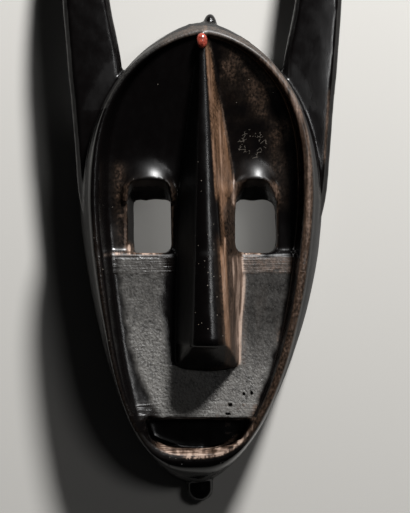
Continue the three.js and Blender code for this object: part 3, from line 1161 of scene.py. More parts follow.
@dataclass
class Carver:
    """Works a fused body over by hand: rounds its corners, then leaves tool marks and damage."""

    fine: float = 1.15
    rough: float = 2.2
    budget: int = 186000
    back_ratio: float = 0.22
    rounding_steps: int = 26
    hammer_width: float = 3.2
    hammer_length: float = 4.8
    hammer_depth: float = 0.07
    stroke_spacing: float = 2.6
    stroke_depth: float = 0.09
    gouge_width: float = 9.0
    gouge_length: float = 19.0
    gouge_depth: float = 0.9
    broad_waves: float = 0.28
    small_waves: float = 0.09
    flat_below: float = 0.45

    def resurface(self, piece: bpy.types.Object) -> None:
        """Gives the joined body one even skin, which rounds its corners as long use does.

        Args:
            piece: The carving.
        """
        size = self.fine
        apply_modifier(piece, "REMESH", mode="VOXEL", voxel_size=size * METRES, use_smooth_shade=True)
        apply_modifier(piece, "SMOOTH", factor=0.5, iterations=3)

    def weigh(self, piece: bpy.types.Object, name: str, weights: Array) -> None:
        """Stores weights as a vertex group in steps of a tenth.

        Args:
            piece: The carving.
            name: The group's name.
            weights: A weight from 0 to 1 for each vertex.
        """
        group = piece.vertex_groups.new(name=name)
        steps = np.round(np.clip(weights, 0.0, 1.0) * 10).astype(int)
        for step in range(1, 11):
            group.add(np.nonzero(steps == step)[0].tolist(), step / 10, "REPLACE")

    def soften(self, piece: bpy.types.Object) -> None:
        """Rounds the hollow corners where the nose, the brows and the walls meet the face.

        Args:
            piece: The carving.
        """
        spot = FaceMap(read_places(piece), read_normals(piece))
        _, share, _ = spot.nose_flank()
        foot = window(share, 0.82, 1.3, 0.1) * window(spot.rise, 95, 330, 12)
        brow = np.zeros(len(spot.x))
        for x in (-40.0, 38.0):
            away = np.hypot((spot.x - x) / 27, (spot.rise - 248) / 20)
            brow = np.maximum(brow, window(away, 0.0, 1.0, 0.25) * smooth_step((spot.rise - 239.5) / 4))
        hollow = 1.0 - spot.front()
        wall = window(spot.from_crest(), 6.0, 14.0, 2.0) * (spot.x < 0) * 0.8
        beyond = np.minimum(np.abs(spot.x + 36.4) - 13.0, np.abs(spot.x - 38.4) - 15.0)
        lid = window(spot.rise, 182, 189, 4) * (spot.facing > 0.0) * (spot.height > 45)
        lid *= mix(0.85, 1.0, smooth_step(beyond / 5.0))
        lip = window(spot.from_crest(), -1.5, 3.0, 1.5) * (spot.rise < 56) * (spot.height > 46)
        weights = np.maximum.reduce([foot * 0.8, brow * 0.7, hollow * (spot.height > 6), wall, lid, lip])
        self.weigh(piece, "soften", weights * (spot.height > 4.0))
        apply_modifier(piece, "SMOOTH", factor=0.5, iterations=self.rounding_steps, vertex_group="soften")

    def mark(self, piece: bpy.types.Object) -> None:
        """Leaves the blade's scoops, the long strokes and the slight waviness of hand work.

        Args:
            piece: The carving.
        """
        places, normals = read_places(piece), read_normals(piece)
        spot = FaceMap(places, normals)
        front = spot.front()
        level = smooth_step((spot.facing - 0.75) / 0.2)
        cheek = window(spot.rise, 66, 184, 3) * level * front
        turned_u = (spot.x * 0.8 + spot.rise * 0.6) / self.hammer_width
        turned_v = (-spot.x * 0.6 + spot.rise * 0.8) / self.hammer_length
        hammered = scoops(turned_u, turned_v, seed=3) - 0.45
        depth = cheek * hammered * self.hammer_depth
        depth *= mix(0.55, 1.0, smooth_step((150 - spot.rise) / 80))
        strokes = spot.rise * 2 * math.pi / self.stroke_spacing + 1.2 * soft_noise(places, 18, 5)
        ragged = spot.rise + 3.0 * soft_noise(places, (9, 1.6, 9), 26)
        scored = (window(ragged, 172.5, 181.5, 2) + window(ragged, 66, 76, 4)) * level * front
        uneven = 0.6 + 0.4 * soft_noise(places, (9, 2.5, 9), 6)
        depth += scored * np.sin(strokes) * self.stroke_depth * uneven
        hollow = 1.0 - front
        gouges = scoops(spot.x / self.gouge_width, spot.rise / self.gouge_length, seed=11) - 0.4
        depth += hollow * (spot.height > 3) * gouges * self.gouge_depth
        waves = front * self.broad_waves * soft_noise(places, 26, 7)
        depth += waves + front * self.small_waves * soft_noise(places, 8, 8)
        depth *= smooth_step((spot.height - 0.6) / 3.0)
        write_places(piece, places + normals * depth[:, None])

    def settle(self, piece: bpy.types.Object) -> None:
        """Keeps the carving in its box and its back rim flat on the ground.

        Args:
            piece: The carving.
        """
        places = read_places(piece)
        low, high = (np.array(corner) / METRES for corner in CAD_BOX)
        places = np.clip(places, low, high)
        flat = places[:, 2] < self.flat_below
        places[flat, 2] = 0.0
        write_places(piece, places)

    def thin(self, piece: bpy.types.Object) -> None:
        """Merges faces down to the budget, most of them in the hollow and low on the outer wall.

        Args:
            piece: The carving.
        """
        triangles = 2 * len(piece.data.polygons)
        back_share = float(self.unseen(piece).mean())
        front_ratio = (self.budget / triangles - back_share * self.back_ratio) / (1.0 - back_share)
        LOG.info("%d triangles before thinning, %.0f%% of them behind", triangles, back_share * 100)
        self.merge(piece, self.unseen(piece), self.back_ratio)
        if front_ratio < 1.0:
            self.merge(piece, ~self.unseen(piece), front_ratio)

    def unseen(self, piece: bpy.types.Object) -> Array:
        """Which vertices lie in the hollow or low on the outer wall."""
        spot = FaceMap(read_places(piece), read_normals(piece))
        return (spot.front() < 0.5) | ((spot.height < 12.0) & (spot.facing < 0.3))

    def merge(self, piece: bpy.types.Object, chosen: Array, ratio: float) -> None:
        """Merges the faces between the chosen vertices down to a share of them.

        Args:
            piece: The carving.
            chosen: Whether each vertex is chosen.
            ratio: The share that stays.
        """
        pick(piece)
        bpy.ops.object.mode_set(mode="EDIT")
        bpy.ops.mesh.select_all(action="DESELECT")
        bpy.ops.object.mode_set(mode="OBJECT")
        piece.data.vertices.foreach_set("select", chosen)
        bpy.ops.object.mode_set(mode="EDIT")
        bpy.ops.mesh.select_mode(type="VERT")
        bpy.ops.mesh.decimate(ratio=ratio)
        bpy.ops.object.mode_set(mode="OBJECT")


@dataclass(frozen=True)
class Pit:
    """A worm hole or a nick, seen from the front, in millimetres."""

    x: float
    rise: float
    width: float
    length: float
    depth: float


@dataclass
class Damage:
    """Small harm to the wood: worm holes above the mouth and nicks in the chin."""

    pits: tuple[Pit, ...] = (
        Pit(29.7, 83.4, 1.6, 1.7, 3.0),
        Pit(35.2, 83.8, 1.6, 1.6, 3.0),
        Pit(19.6, 75.4, 2.6, 1.6, 3.0),
        Pit(17.8, 68.8, 3.0, 1.1, 2.5),
        Pit(-15.2, 33.1, 1.3, 3.2, 0.9),
        Pit(14.1, 33.1, 2.0, 2.2, 1.1),
        Pit(7.5, 25.0, 1.5, 1.8, 0.8),
        Pit(-24.0, 31.0, 2.4, 1.2, 0.7),
    )
    lift: float = 0.12

    def cut(self, piece: bpy.types.Object) -> None:
        """Cuts each pit straight down into the wood.

        Args:
            piece: The carving.
        """
        for pit in self.pits:
            above = Vector((pit.x, pit.rise - HALF_LENGTH, 200.0)) * METRES
            met, place, _, _ = piece.ray_cast(above, Vector((0.0, 0.0, -1.0)))
            if not met:
                LOG.warning("no wood under the pit at %.1f, %.1f", pit.x, pit.rise)
                continue
            centre = np.array(place) / METRES + np.array([0.0, 0.0, self.lift * pit.depth])
            tool = add_ball("pit", centre, (pit.width / 2, pit.length / 2, pit.depth), 12, 8)
            apply_modifier(piece, "BOOLEAN", object=tool, operation="DIFFERENCE", solver="FAST")
            bpy.data.objects.remove(tool)


# Finishes


def linear(code: str) -> tuple[float, float, float, float]:
    """Turns an sRGB hex colour to linear values.

    Args:
        code: The colour, as # and six hex digits.

    Returns:
        Red, green, blue and an alpha of 1.
    """
    values = [int(code[i : i + 2], 16) / 255 for i in (1, 3, 5)]
    bright = [part / 12.92 if part <= 0.04045 else ((part + 0.055) / 1.055) ** 2.4 for part in values]
    return (*bright, 1.0)


def add_node(
    tree: bpy.types.NodeTree, kind: str, inputs: dict | None = None, **settings: object
) -> bpy.types.Node:
    """Adds a node with its settings and links.

    Args:
        tree: The material's or world's nodes.
        kind: The node's type.
        inputs: What goes into each socket, a value or another node's output.
        settings: The node's own properties.

    Returns:
        The node.
    """
    node = tree.nodes.new(kind)
    for key, value in settings.items():
        setattr(node, key, value)
    for key, value in (inputs or {}).items():
        if isinstance(value, bpy.types.NodeSocket):
            tree.links.new(value, node.inputs[key])
        else:
            node.inputs[key].default_value = value
    return node


def add_ramp(tree: bpy.types.NodeTree, factor: bpy.types.NodeSocket, stops: tuple) -> bpy.types.NodeSocket:
    """Adds a colour ramp with stops of position and hex colour, and gives its colour.

    Args:
        tree: The material's nodes.
        factor: What runs along the ramp.
        stops: Its stops.

    Returns:
        The ramp's colour.
    """
    node = add_node(tree, "ShaderNodeValToRGB", {"Fac": factor})
    ramp = node.color_ramp
    while len(ramp.elements) > 1:
        ramp.elements.remove(ramp.elements[-1])
    for index, (position, colour) in enumerate(stops):
        element = ramp.elements[0] if index == 0 else ramp.elements.new(position)
        element.position = position
        element.color = linear(colour)
    return node.outputs["Color"]


def new_material(name: str) -> tuple[bpy.types.Material, bpy.types.NodeTree]:
    """Makes an empty node material.

    Args:
        name: The material's name.

    Returns:
        The material and its nodes.
    """
    material = bpy.data.materials.new(name)
    material.use_nodes = True
    material.node_tree.nodes.clear()
    return material, material.node_tree


@dataclass
class Pattern:
    """Procedural patterns of one material, in object coordinates and real sizes."""

    tree: bpy.types.NodeTree

    def __post_init__(self) -> None:
        """Adds the source of object coordinates."""
        self.place = add_node(self.tree, "ShaderNodeTexCoord").outputs["Object"]

    def attribute(self, name: str) -> bpy.types.NodeSocket:
        """The carving's own value of that name."""
        return add_node(self.tree, "ShaderNodeAttribute", attribute_name=name).outputs["Fac"]

    def spread(self, *sizes: float) -> bpy.types.NodeSocket:
        """Object coordinates counted in features of these sizes, in millimetres."""
        scale = tuple(1.0 / (size * METRES) for size in sizes)
        return add_node(self.tree, "ShaderNodeMapping", {"Vector": self.place, "Scale": scale}).outputs[0]

    def noise(self, *sizes: float, detail: float = 2.0) -> bpy.types.NodeSocket:
        """Soft noise from 0 to 1 with features of these sizes, in millimetres."""
        inputs = {"Vector": self.spread(*sizes), "Scale": 1.0, "Detail": detail, "Roughness": 0.55}
        return add_node(self.tree, "ShaderNodeTexNoise", inputs).outputs["Fac"]

    def cells(self, size: float, feature: str = "F1") -> bpy.types.Node:
        """Random cells of one size, in millimetres."""
        inputs = {"Vector": self.spread(size, size, size), "Scale": 1.0}
        return add_node(self.tree, "ShaderNodeTexVoronoi", inputs, feature=feature)

    def maths(self, operation: str, *values: object, clamp: bool = False) -> bpy.types.NodeSocket:
        """The result of a Math node."""
        settings = {"operation": operation, "use_clamp": clamp}
        return add_node(self.tree, "ShaderNodeMath", dict(enumerate(values)), **settings).outputs[0]

    def swing(self, value: bpy.types.NodeSocket, reach: float) -> bpy.types.NodeSocket:
        """A 0 to 1 value as one around zero, this far each way."""
        return self.maths("MULTIPLY_ADD", value, 2.0 * reach, -reach)

    def add(self, *values: bpy.types.NodeSocket) -> bpy.types.NodeSocket:
        """The sum of values.

        Args:
            values: What is added up.

        Returns:
            The sum.
        """
        total = values[0]
        for value in values[1:]:
            total = self.maths("ADD", total, value)
        return total

    def mixed(self, factor: object, a: object, b: object) -> bpy.types.NodeSocket:
        """Value a, going over to value b as the factor rises."""
        return add_node(self.tree, "ShaderNodeMix", {"Factor": factor, "A": a, "B": b}).outputs["Result"]

    def blend(self, factor: object, a: object, b: object) -> bpy.types.NodeSocket:
        """Colour a, going over to colour b as the factor rises."""
        inputs = {"Factor": factor, "A": a, "B": b}
        return add_node(self.tree, "ShaderNodeMix", inputs, data_type="RGBA").outputs["Result"]


@dataclass(frozen=True)
class PatinatedWood:
    """Dense hardwood, carved by hand, blackened and rubbed with oil until it shines.

    The eye sees a near-black gloss with a fine hammered grain on the cheeks, painted over with a grey
    sheen, and brown wood with its upright grain where hands have worn the black away; pale lines of
    the same wood are also painted in as highlights.
    """

    stops: tuple[tuple[float, str], ...] = (
        (0.0, "#040303"),
        (0.2, "#0d0a08"),
        (0.42, "#2a2019"),
        (0.7, "#52433a"),
        (1.0, "#907d70"),
    )
    warm: str = "#7a5a42"
    # Painted sheen: the grey that the hammered cheeks and the crown's dome are blended to, standing in for
    # the satin sheen of the light on them.
    grey: str = "#504e4b"
    dust: str = "#7d756b"
    ior: float = 1.5
    specular: float = 0.36

    def exposed(self, pattern: Pattern, grain: bpy.types.NodeSocket) -> bpy.types.NodeSocket:
        """How far the wood shows through the black, streaked along the grain, with the pale lines painted in
        as highlights and sheen.

        Args:
            pattern: The material's patterns.
            grain: The wood's fine grain.

        Returns:
            0 where the black is whole, up to 1 on bare wood.
        """
        wear_and_painted_light = pattern.attribute("wear_and_painted_light")
        fine = pattern.maths("MULTIPLY_ADD", grain, 5.0, -2.0, clamp=True)
        broad = pattern.noise(5.0, 70.0, 14.0, detail=3.0)
        broad = pattern.maths("MULTIPLY_ADD", broad, 3.6, -1.3, clamp=True)
        patch = pattern.swing(pattern.noise(8.0, 13.0, 8.0, detail=4.0), 0.5)
        bare = pattern.maths("MULTIPLY_ADD", wear_and_painted_light, 5.0, -1.75, clamp=True)
        fleck = pattern.swing(pattern.noise(1.6, 2.2, 1.6, detail=4.0), 1.6)
        fleck = pattern.maths("MULTIPLY", fleck, pattern.maths("SUBTRACT", 1.1, bare))
        streak = pattern.maths("MULTIPLY_ADD", pattern.add(fine, broad), 0.62, -0.66)
        streak = pattern.maths("MULTIPLY", streak, bare)
        uneven = pattern.maths("MULTIPLY", pattern.add(streak, patch, fleck), wear_and_painted_light)
        return pattern.maths("ADD", uneven, wear_and_painted_light, clamp=True)

    def dusted(self, pattern: Pattern) -> bpy.types.NodeSocket:
        """Specks of pale dust, and the thin crackled lines of a dried drop.

        Args:
            pattern: The material's patterns.

        Returns:
            How pale each place is, from 0 to 1.
        """
        dots = pattern.cells(2.2)
        lucky = add_node(pattern.tree, "ShaderNodeSeparateColor", {"Color": dots.outputs["Color"]})
        chance = pattern.maths("MULTIPLY", pattern.attribute("dust"), 0.35)
        chosen = pattern.maths("LESS_THAN", lucky.outputs["Red"], chance)
        speck = pattern.maths("LESS_THAN", dots.outputs["Distance"], 0.11)
        speck = pattern.maths("MULTIPLY", speck, chosen)
        net = pattern.cells(3.0, "DISTANCE_TO_EDGE").outputs["Distance"]
        line = pattern.maths("LESS_THAN", net, 0.05)
        broken = pattern.maths("GREATER_THAN", pattern.noise(3.5, 3.5, 3.5, detail=1.0), 0.52)
        ring = pattern.maths("GREATER_THAN", pattern.attribute("crackle"), 0.4)
        cracked = pattern.maths("MULTIPLY", pattern.maths("MULTIPLY", line, broken), ring)
        return pattern.maths("MAXIMUM", speck, pattern.maths("MULTIPLY", cracked, 0.3))

    def relief(self, pattern: Pattern, grain: bpy.types.NodeSocket) -> bpy.types.NodeSocket:
        """Fine bumps: hammer marks, scored lines, wood fibres and a slight unevenness.

        Args:
            pattern: The material's patterns.
            grain: The wood's fine grain.

        Returns:
            The height that the bumps follow.
        """
        pits = pattern.cells(2.0, "SMOOTH_F1").outputs["Distance"]
        hammered = pattern.add(pattern.noise(1.5, 1.9, 1.5, detail=4.0), pattern.maths("MULTIPLY", pits, 0.4))
        hammer_and_sheen = pattern.maths("MULTIPLY", pattern.attribute("hammer_and_sheen"), 2.2)
        hammered = pattern.maths("MULTIPLY", hammered, hammer_and_sheen)
        scored = pattern.maths("MULTIPLY", pattern.noise(26.0, 0.9, 26.0), pattern.attribute("scored"))
        raised = pattern.maths("MULTIPLY_ADD", pattern.attribute("wear_and_painted_light"), 0.45, 0.05)
        fibres = pattern.maths("MULTIPLY", grain, raised)
        uneven = pattern.maths("MULTIPLY", pattern.noise(1.8, 2.6, 1.8, detail=3.0), 0.08)
        return pattern.add(hammered, scored, fibres, uneven)

    def matt(self, pattern: Pattern, exposed: bpy.types.NodeSocket) -> bpy.types.NodeSocket:
        """Roughness: low where rubbed bright, high on hammered, bare and dusty places.

        Args:
            pattern: The material's patterns.
            exposed: How far the wood shows through.

        Returns:
            The roughness.
        """
        value = pattern.maths("MULTIPLY_ADD", exposed, 0.34, 0.22)
        value = pattern.maths("MULTIPLY_ADD", pattern.attribute("hammer_and_sheen"), 0.27, value)
        value = pattern.maths("MULTIPLY_ADD", pattern.attribute("dry"), 0.5, value)
        value = pattern.maths("MULTIPLY_ADD", pattern.attribute("polish"), -0.03, value)
        return pattern.add(value, pattern.swing(pattern.noise(6.0, 9.0, 6.0, detail=3.0), 0.08))

    def build(self) -> bpy.types.Material:
        """Makes the material.

        Returns:
            The material.
        """
        material, tree = new_material("patinated_hardwood")
        pattern = Pattern(tree)
        upright = pattern.noise(2.3, 55.0, 7.0, detail=3.0)
        level = pattern.noise(30.0, 1.3, 30.0, detail=3.0)
        grain = pattern.mixed(pattern.attribute("scored"), upright, level)
        exposed = self.exposed(pattern, grain)
        colour = add_ramp(tree, exposed, self.stops)
        warmth = pattern.maths("MULTIPLY", pattern.noise(3.0, 50.0, 9.0), pattern.attribute("warm"))
        warmth = pattern.maths("MULTIPLY", warmth, exposed)
        warmth = pattern.maths("MULTIPLY", warmth, 1.3, clamp=True)
        colour = pattern.blend(warmth, colour, linear(self.warm))
        # Painted sheen: the colour goes over to the grey in a grainy cloud as far as the hammered mask
        # reaches.
        grit = pattern.maths("MULTIPLY_ADD", pattern.noise(1.7, 2.1, 1.7, detail=4.0), 2.6, -1.15)
        cloud = pattern.maths("MULTIPLY_ADD", pattern.noise(6.0, 9.0, 6.0, detail=4.0), 1.7, grit)
        cloud = pattern.maths("MULTIPLY", cloud, pattern.attribute("hammer_and_sheen"), clamp=True)
        colour = pattern.blend(cloud, colour, linear(self.grey))
        dust = self.dusted(pattern)
        colour = pattern.blend(dust, colour, linear(self.dust))
        relief = {"Height": self.relief(pattern, grain), "Distance": 0.5 * METRES, "Strength": 0.8}
        bump = add_node(tree, "ShaderNodeBump", relief).outputs["Normal"]
        matt = pattern.maths("MULTIPLY_ADD", dust, 0.4, self.matt(pattern, exposed), clamp=True)
        shader = {"Base Color": colour, "Roughness": matt, "Normal": bump, "IOR": self.ior}
        shader["Specular IOR Level"] = self.specular
        surface = add_node(tree, "ShaderNodeBsdfPrincipled", shader).outputs["BSDF"]
        add_node(tree, "ShaderNodeOutputMaterial", {"Surface": surface})
        return material


@dataclass(frozen=True)
class RedResin:
    """Hardened red resin or wax, dripped on, which gives a wet gloss and a colour deep in the drop."""

    deep: str = "#43130d"
    bright: str = "#964436"
    roughness: float = 0.22
    ior: float = 1.54
    cloud_size: float = 2.0

    def build(self) -> bpy.types.Material:
        """Makes the material.

        Returns:
            The material.
        """
        material, tree = new_material("red_resin")
        spread = Pattern(tree).spread(self.cloud_size, self.cloud_size, self.cloud_size)
        cloudy = {"Vector": spread, "Scale": 1.0, "Detail": 3.0}
        cloud = add_node(tree, "ShaderNodeTexNoise", cloudy).outputs["Fac"]
        colour = add_ramp(tree, cloud, ((0.3, self.deep), (0.7, self.bright)))
        relief = {"Height": cloud, "Distance": 0.3 * METRES, "Strength": 0.4}
        bump = add_node(tree, "ShaderNodeBump", relief).outputs["Normal"]
        shader = {"Base Color": colour, "Roughness": self.roughness, "Normal": bump, "IOR": self.ior}
        surface = add_node(tree, "ShaderNodeBsdfPrincipled", shader).outputs["BSDF"]
        add_node(tree, "ShaderNodeOutputMaterial", {"Surface": surface})
        return material


@dataclass
class Patina:
    """What use has done to each place of the carving, and where highlights, sheen and shade are painted into
    its colour, as values from 0 to 1.
    """

    spot: FaceMap
    eyes: tuple[EyeOpening, ...]
    keel_run: tuple[float, float] = (233, 330)
    upper_run: tuple[float, float] = (185, 230)
    lower_run: tuple[float, float] = (104, 182)
    rim_right_run: tuple[float, float] = (52, 322)
    rim_left_run: tuple[float, float] = (60, 190)
    forehead_run: tuple[float, float] = (228, 330)
    cheek_run: tuple[float, float] = (67, 181)
    under_eyes: tuple[float, float] = (172.5, 181.5)
    over_mouth: tuple[float, float] = (66, 76)
    lid_edge: float = 185.5
    # Where the painted highlight along the lower lids runs.
    lid_highlight_rise: float = 185.4
    keel_wear: tuple[float, float] = (0.68, 0.34)
    upper_wear: float = 0.27
    groove_wear: float = 0.5
    streak_wear: float = 0.6
    lower_wear: tuple[float, float] = (0.46, 0.66)
    # How bright the painted halo beside the nose's highlight is.
    nose_front_halo: float = 0.1
    rim_right_wear: tuple[float, float] = (0.38, 0.5)
    # How bright the painted sheen along the left crest is.
    rim_left_sheen: float = 0.14
    dome_wear: float = 0.32
    lip_wear: float = 0.72
    # How bright the painted highlight along the lower lip's crest is.
    lip_crest_highlight: float = 0.95
    cheek_edge_wear: float = 0.75
    splinter_wear: float = 0.6
    brow_wear: tuple[float, float] = (0.3, 0.62)
    temple_wear: tuple[float, float] = (0.34, 0.2)
    socket_wear: float = 0.6
    socket_corner_wear: float = 0.9
    # How bright the painted reflection down the right edge of each eye hole is.
    hole_edge_reflection: float = 0.7
    # How bright the painted highlight along the lower lids is.
    lid_highlight: float = 0.75
    forehead_wear: float = 0.3
    cheek_wear: float = 0.42
    ear_wear_and_painted_light: float = 0.5
    flank_dry: float = 0.8
    ridge_dry: float = 0.14
    corner_dry: float = 0.08
    foot_dry: float = 0.12
    dome_dry: float = 0.18
    sheen_dry: float = 0.16
    lip_dry: float = 0.34
    brow_dry: float = 0.3
    # Painted sheen: the share of the hammer marks and the grey sheen that the crown's dome gets.
    dome_hammer_and_sheen: float = 0.22

    def __post_init__(self) -> None:
        """Works out what several of the values need."""
        self.x, self.rise, self.height = self.spot.x, self.spot.rise, self.spot.height
        self.front = self.spot.front() * (1.0 - self.spot.ears())
        self.level = smooth_step((self.spot.facing - 0.75) / 0.2)
        self.inward = self.spot.from_crest()
        self.out, self.share, self.right = self.spot.nose_flank()
        self.width = self.out / np.where(np.abs(self.share) < 1e-6, 1e-6, self.share)
        self.beyond = self.out - self.width

    def noise(self, size: float | tuple[float, float, float], seed: int) -> Array:
        """Smooth random values over the carving."""
        return soft_noise(self.spot.places, size, seed)

    def crown_dome(self) -> Array:
        """The dome of the crown behind the rim."""
        return window(self.inward, -15, -1.5, 3) * (self.rise > 290) * (self.height > 55)

    def nose_wear_and_highlight(self) -> Array:
        """Wood laid bare on the right flank of the keel and nose, a bright line along its foot that is bare
        wood and painted highlight together, and a faint painted halo beside the highlight on the nose's
        front.

        Returns:
            A value from 0 to 1 for each vertex.
        """
        rise, out, width = self.rise, self.out, self.width
        fading = mix(*self.keel_wear, smooth_step((rise - 262) / 50))
        fading += 0.3 * self.noise((5, 22, 9), 27)
        keel = window(out, 0.8, width + 1.0, 1.3) * window(rise, *self.keel_run, 12) * fading
        upper = window(out, 4.0, width, 2.0) * window(rise, *self.upper_run, 12) * self.upper_wear
        groove = window(out, 4.2, 8.2, 1.5) * window(rise, 212, 236, 10) * self.groove_wear
        upper = np.maximum(upper, groove)
        streaks = window(out, 1.8, 5.2, 1.4) * window(rise, 108, 186, 8) * self.streak_wear
        lower = window(out, 6.0, width, 1.6) * window(rise, *self.lower_run, 4)
        lower *= mix(*self.lower_wear, smooth_step((out - 9) / 3))
        # Bare wood and painted highlight together: a bright pale line along the foot of the right flank.
        foot = bell(self.beyond - 0.6, 1.9) * window(rise, *self.lower_run, 5)
        # Painted highlight: a faint pale halo on the right half of the nose's front.
        front_side = window(out, -3.0, 1.0, 2.0) * window(rise, 118, 190, 12) * self.nose_front_halo
        patch = bell(self.x - 15.0, 1.5) * window(rise, 185, 196, 2) * (out > 0)
        parts = (keel, upper, streaks, lower, foot, front_side, patch)
        return np.maximum.reduce(parts) * self.right * (self.beyond < 4.5)

    def rim_wear_and_sheen(self) -> Array:
        """Wood showing along the rim's crest on the right and on the crown's dome, and a faint painted sheen
        along the left crest.

        Returns:
            A value from 0 to 1 for each vertex.
        """
        x, rise, inward = self.x, self.rise, self.inward
        fading = mix(*self.rim_right_wear, smooth_step((rise - 90) / 210))
        right = window(inward, -2.2, 2.8, 1.6) * (x > 0) * window(rise, *self.rim_right_run, 10) * fading
        # Painted sheen: a faint pale streak along the left crest.
        left = window(inward, -2.5, 1.0, 2.0) * (x < 0) * window(rise, *self.rim_left_run, 30)
        dome = window(inward, -13, -0.5, 3) * window(x, -26, 56, 12) * (rise > 290) * (self.height > 60)
        return np.maximum.reduce((right, left * self.rim_left_sheen, dome * self.dome_wear))

    def lip(self) -> Array:
        """The bevel of the lower lip."""
        bevel = (self.rise < 53) & (self.spot.facing > 0.2) & (self.height > 50)
        return window(self.inward, 2.4, 6.6, 0.7) * bevel

    def mouth_wear_and_highlight(self) -> Array:
        """Wood on the lower lip's bevel, on the cheeks' bottom edge and in a splinter, and a painted
        highlight along the lip's crest.

        Returns:
            A value from 0 to 1 for each vertex.
        """
        x, rise = self.x, self.rise
        lip = self.lip() * window(x, -26, 20, 14)
        edge = bell(rise - 65.8, 1.1) * window(x, -10, 36, 6) * (self.height > 60)
        splinter = bell(x - 17.5, 0.7) * window(rise, 53, 66, 1.5) * (self.height < 62)
        # Painted highlight: a pale line along the lower lip's crest.
        crest = window(self.inward, 0.9, 2.7, 0.7) * window(x, -12, 34, 6)
        crest = crest * (rise < 72) * (self.height > 44)
        lips = (lip * self.lip_wear, crest * self.lip_crest_highlight)
        return np.maximum.reduce((*lips, edge * self.cheek_edge_wear, splinter * self.splinter_wear))

    def eye_wear_and_highlights(self) -> Array:
        """Wood on the legs of the brows, in the left temple and at the left socket's edge and corner, a
        painted reflection down the right edge of each eye hole and a painted highlight along the lower lids.

        Returns:
            A value from 0 to 1 for each vertex.
        """
        x, rise = self.x, self.rise
        legs = np.zeros(len(x))
        for eye, amount in zip(self.eyes, self.brow_wear):
            near = bell(self.spot.arch_distance(eye.brow()), 4.5) * (self.height > 54)
            legs = np.maximum(legs, near * mix(1.0, 0.15, smooth_step((rise - 234) / 7)) * amount)
        strong, faint = self.temple_wear
        temple = bell(x + 61.0, 5.0) * window(rise, 226, 247, 8) * self.level * strong
        beside = bell(x + 61.0, 4.0) * window(rise, 190, 240, 10) * self.level * faint
        temple = np.maximum(temple, beside)
        edge = bell(x + 56.6, 1.3) * window(rise, 192, 228, 5) * (self.height > 44) * self.socket_wear
        corner = bell(np.hypot(x + 54.0, rise - 189.5), 3.6) * self.socket_corner_wear
        # Painted reflection: a thin pale line down the right edge of each eye hole.
        for eye in self.eyes:
            side = bell(x - eye.x - eye.width / 2 - 0.4, 0.7) * window(rise, 192, 219, 3)
            edge = np.maximum(edge, side * (self.height > 50) * self.hole_edge_reflection)
        # Painted highlight: a pale line along the edge of each lower lid.
        lid = bell(rise - self.lid_highlight_rise, 1.5) * (self.height > 50)
        lid = lid * (window(x, -62, -34, 8) + window(x, 28, 40, 6)) * self.lid_highlight
        return np.maximum.reduce((legs, temple, edge, corner, lid))

    def mottled(self) -> Array:
        """Brown showing through in patches on the right of the forehead.

        Returns:
            A value from 0 to 1 for each vertex.
        """
        patches = 0.6 + 0.9 * self.noise(13, 21) + 0.5 * self.noise(5, 22)
        patches *= mix(1.0, 0.35, smooth_step((self.inward - 20) / 12))
        region = mix(0.5, 1.0, smooth_step((self.rise - 255) / 35))
        region *= window(self.rise, *self.forehead_run, 16)
        region = region * (self.x > 12) * window(self.inward, 4.5, 60, 2) * (self.share > 1.1)
        return region * self.level * patches.clip(0.0) * self.forehead_wear

    def worn(self) -> Array:
        """Where the black is worn off, and where highlights, a halo and a sheen are painted in as pale wood.

        Returns:
            A value from 0 to 1 for each vertex.
        """
        x, rise = self.x, self.rise
        start = np.where(rise < 100, 2.0, 18.0)
        scored = self.scored() * (rise > 60) * mix(0.08, 0.46, smooth_step((x - start) / 12))
        streak = self.noise((5, 40, 9), 23).clip(0.0)
        cheek = streak * window(rise, 70, 150, 20) * (x > 20) * (self.share > 1.1) * self.cheek_wear
        cheek *= self.inward > 7
        parts = (self.nose_wear_and_highlight(), self.rim_wear_and_sheen(), self.mouth_wear_and_highlight(), self.eye_wear_and_highlights(), self.mottled())
        head = np.maximum.reduce((*parts, scored, cheek)) * self.front
        ear = bell(x - mix(89.0, 91.8, (rise - 254) / 44), 1.3) * window(rise, 256, 300, 10)
        return np.maximum(head, ear * self.ear_wear_and_painted_light * (self.height > 50))

    def warm(self) -> Array:
        """Where the bare wood is orange rather than grey.

        Returns:
            A value from 0 to 1 for each vertex.
        """
        reach = mix(5.2, 14.0, smooth_step((self.rise - 215) / 20))
        nose = window(self.out, 0.0, reach, 1.5) * self.right * (self.share < 1.0)
        return np.maximum(nose, 0.1) * self.front

    def polished(self) -> Array:
        """Where hands have rubbed the wood bright.

        Returns:
            A value from 0 to 1 for each vertex.
        """
        nose = smooth_step((3.0 - self.out) / 5.0) * window(self.rise, 116, 262, 24)
        lid = bell(self.rise - self.lid_edge, 2.0) * (self.height > 50)
        crest = bell(self.inward - 0.4, 2.2) * smooth_step((60 - self.rise) / 10) * 0.3
        chin = window(self.rise, 12, 40, 6) * 0.5
        return np.maximum.reduce((nose, crest, chin, lid)) * self.front

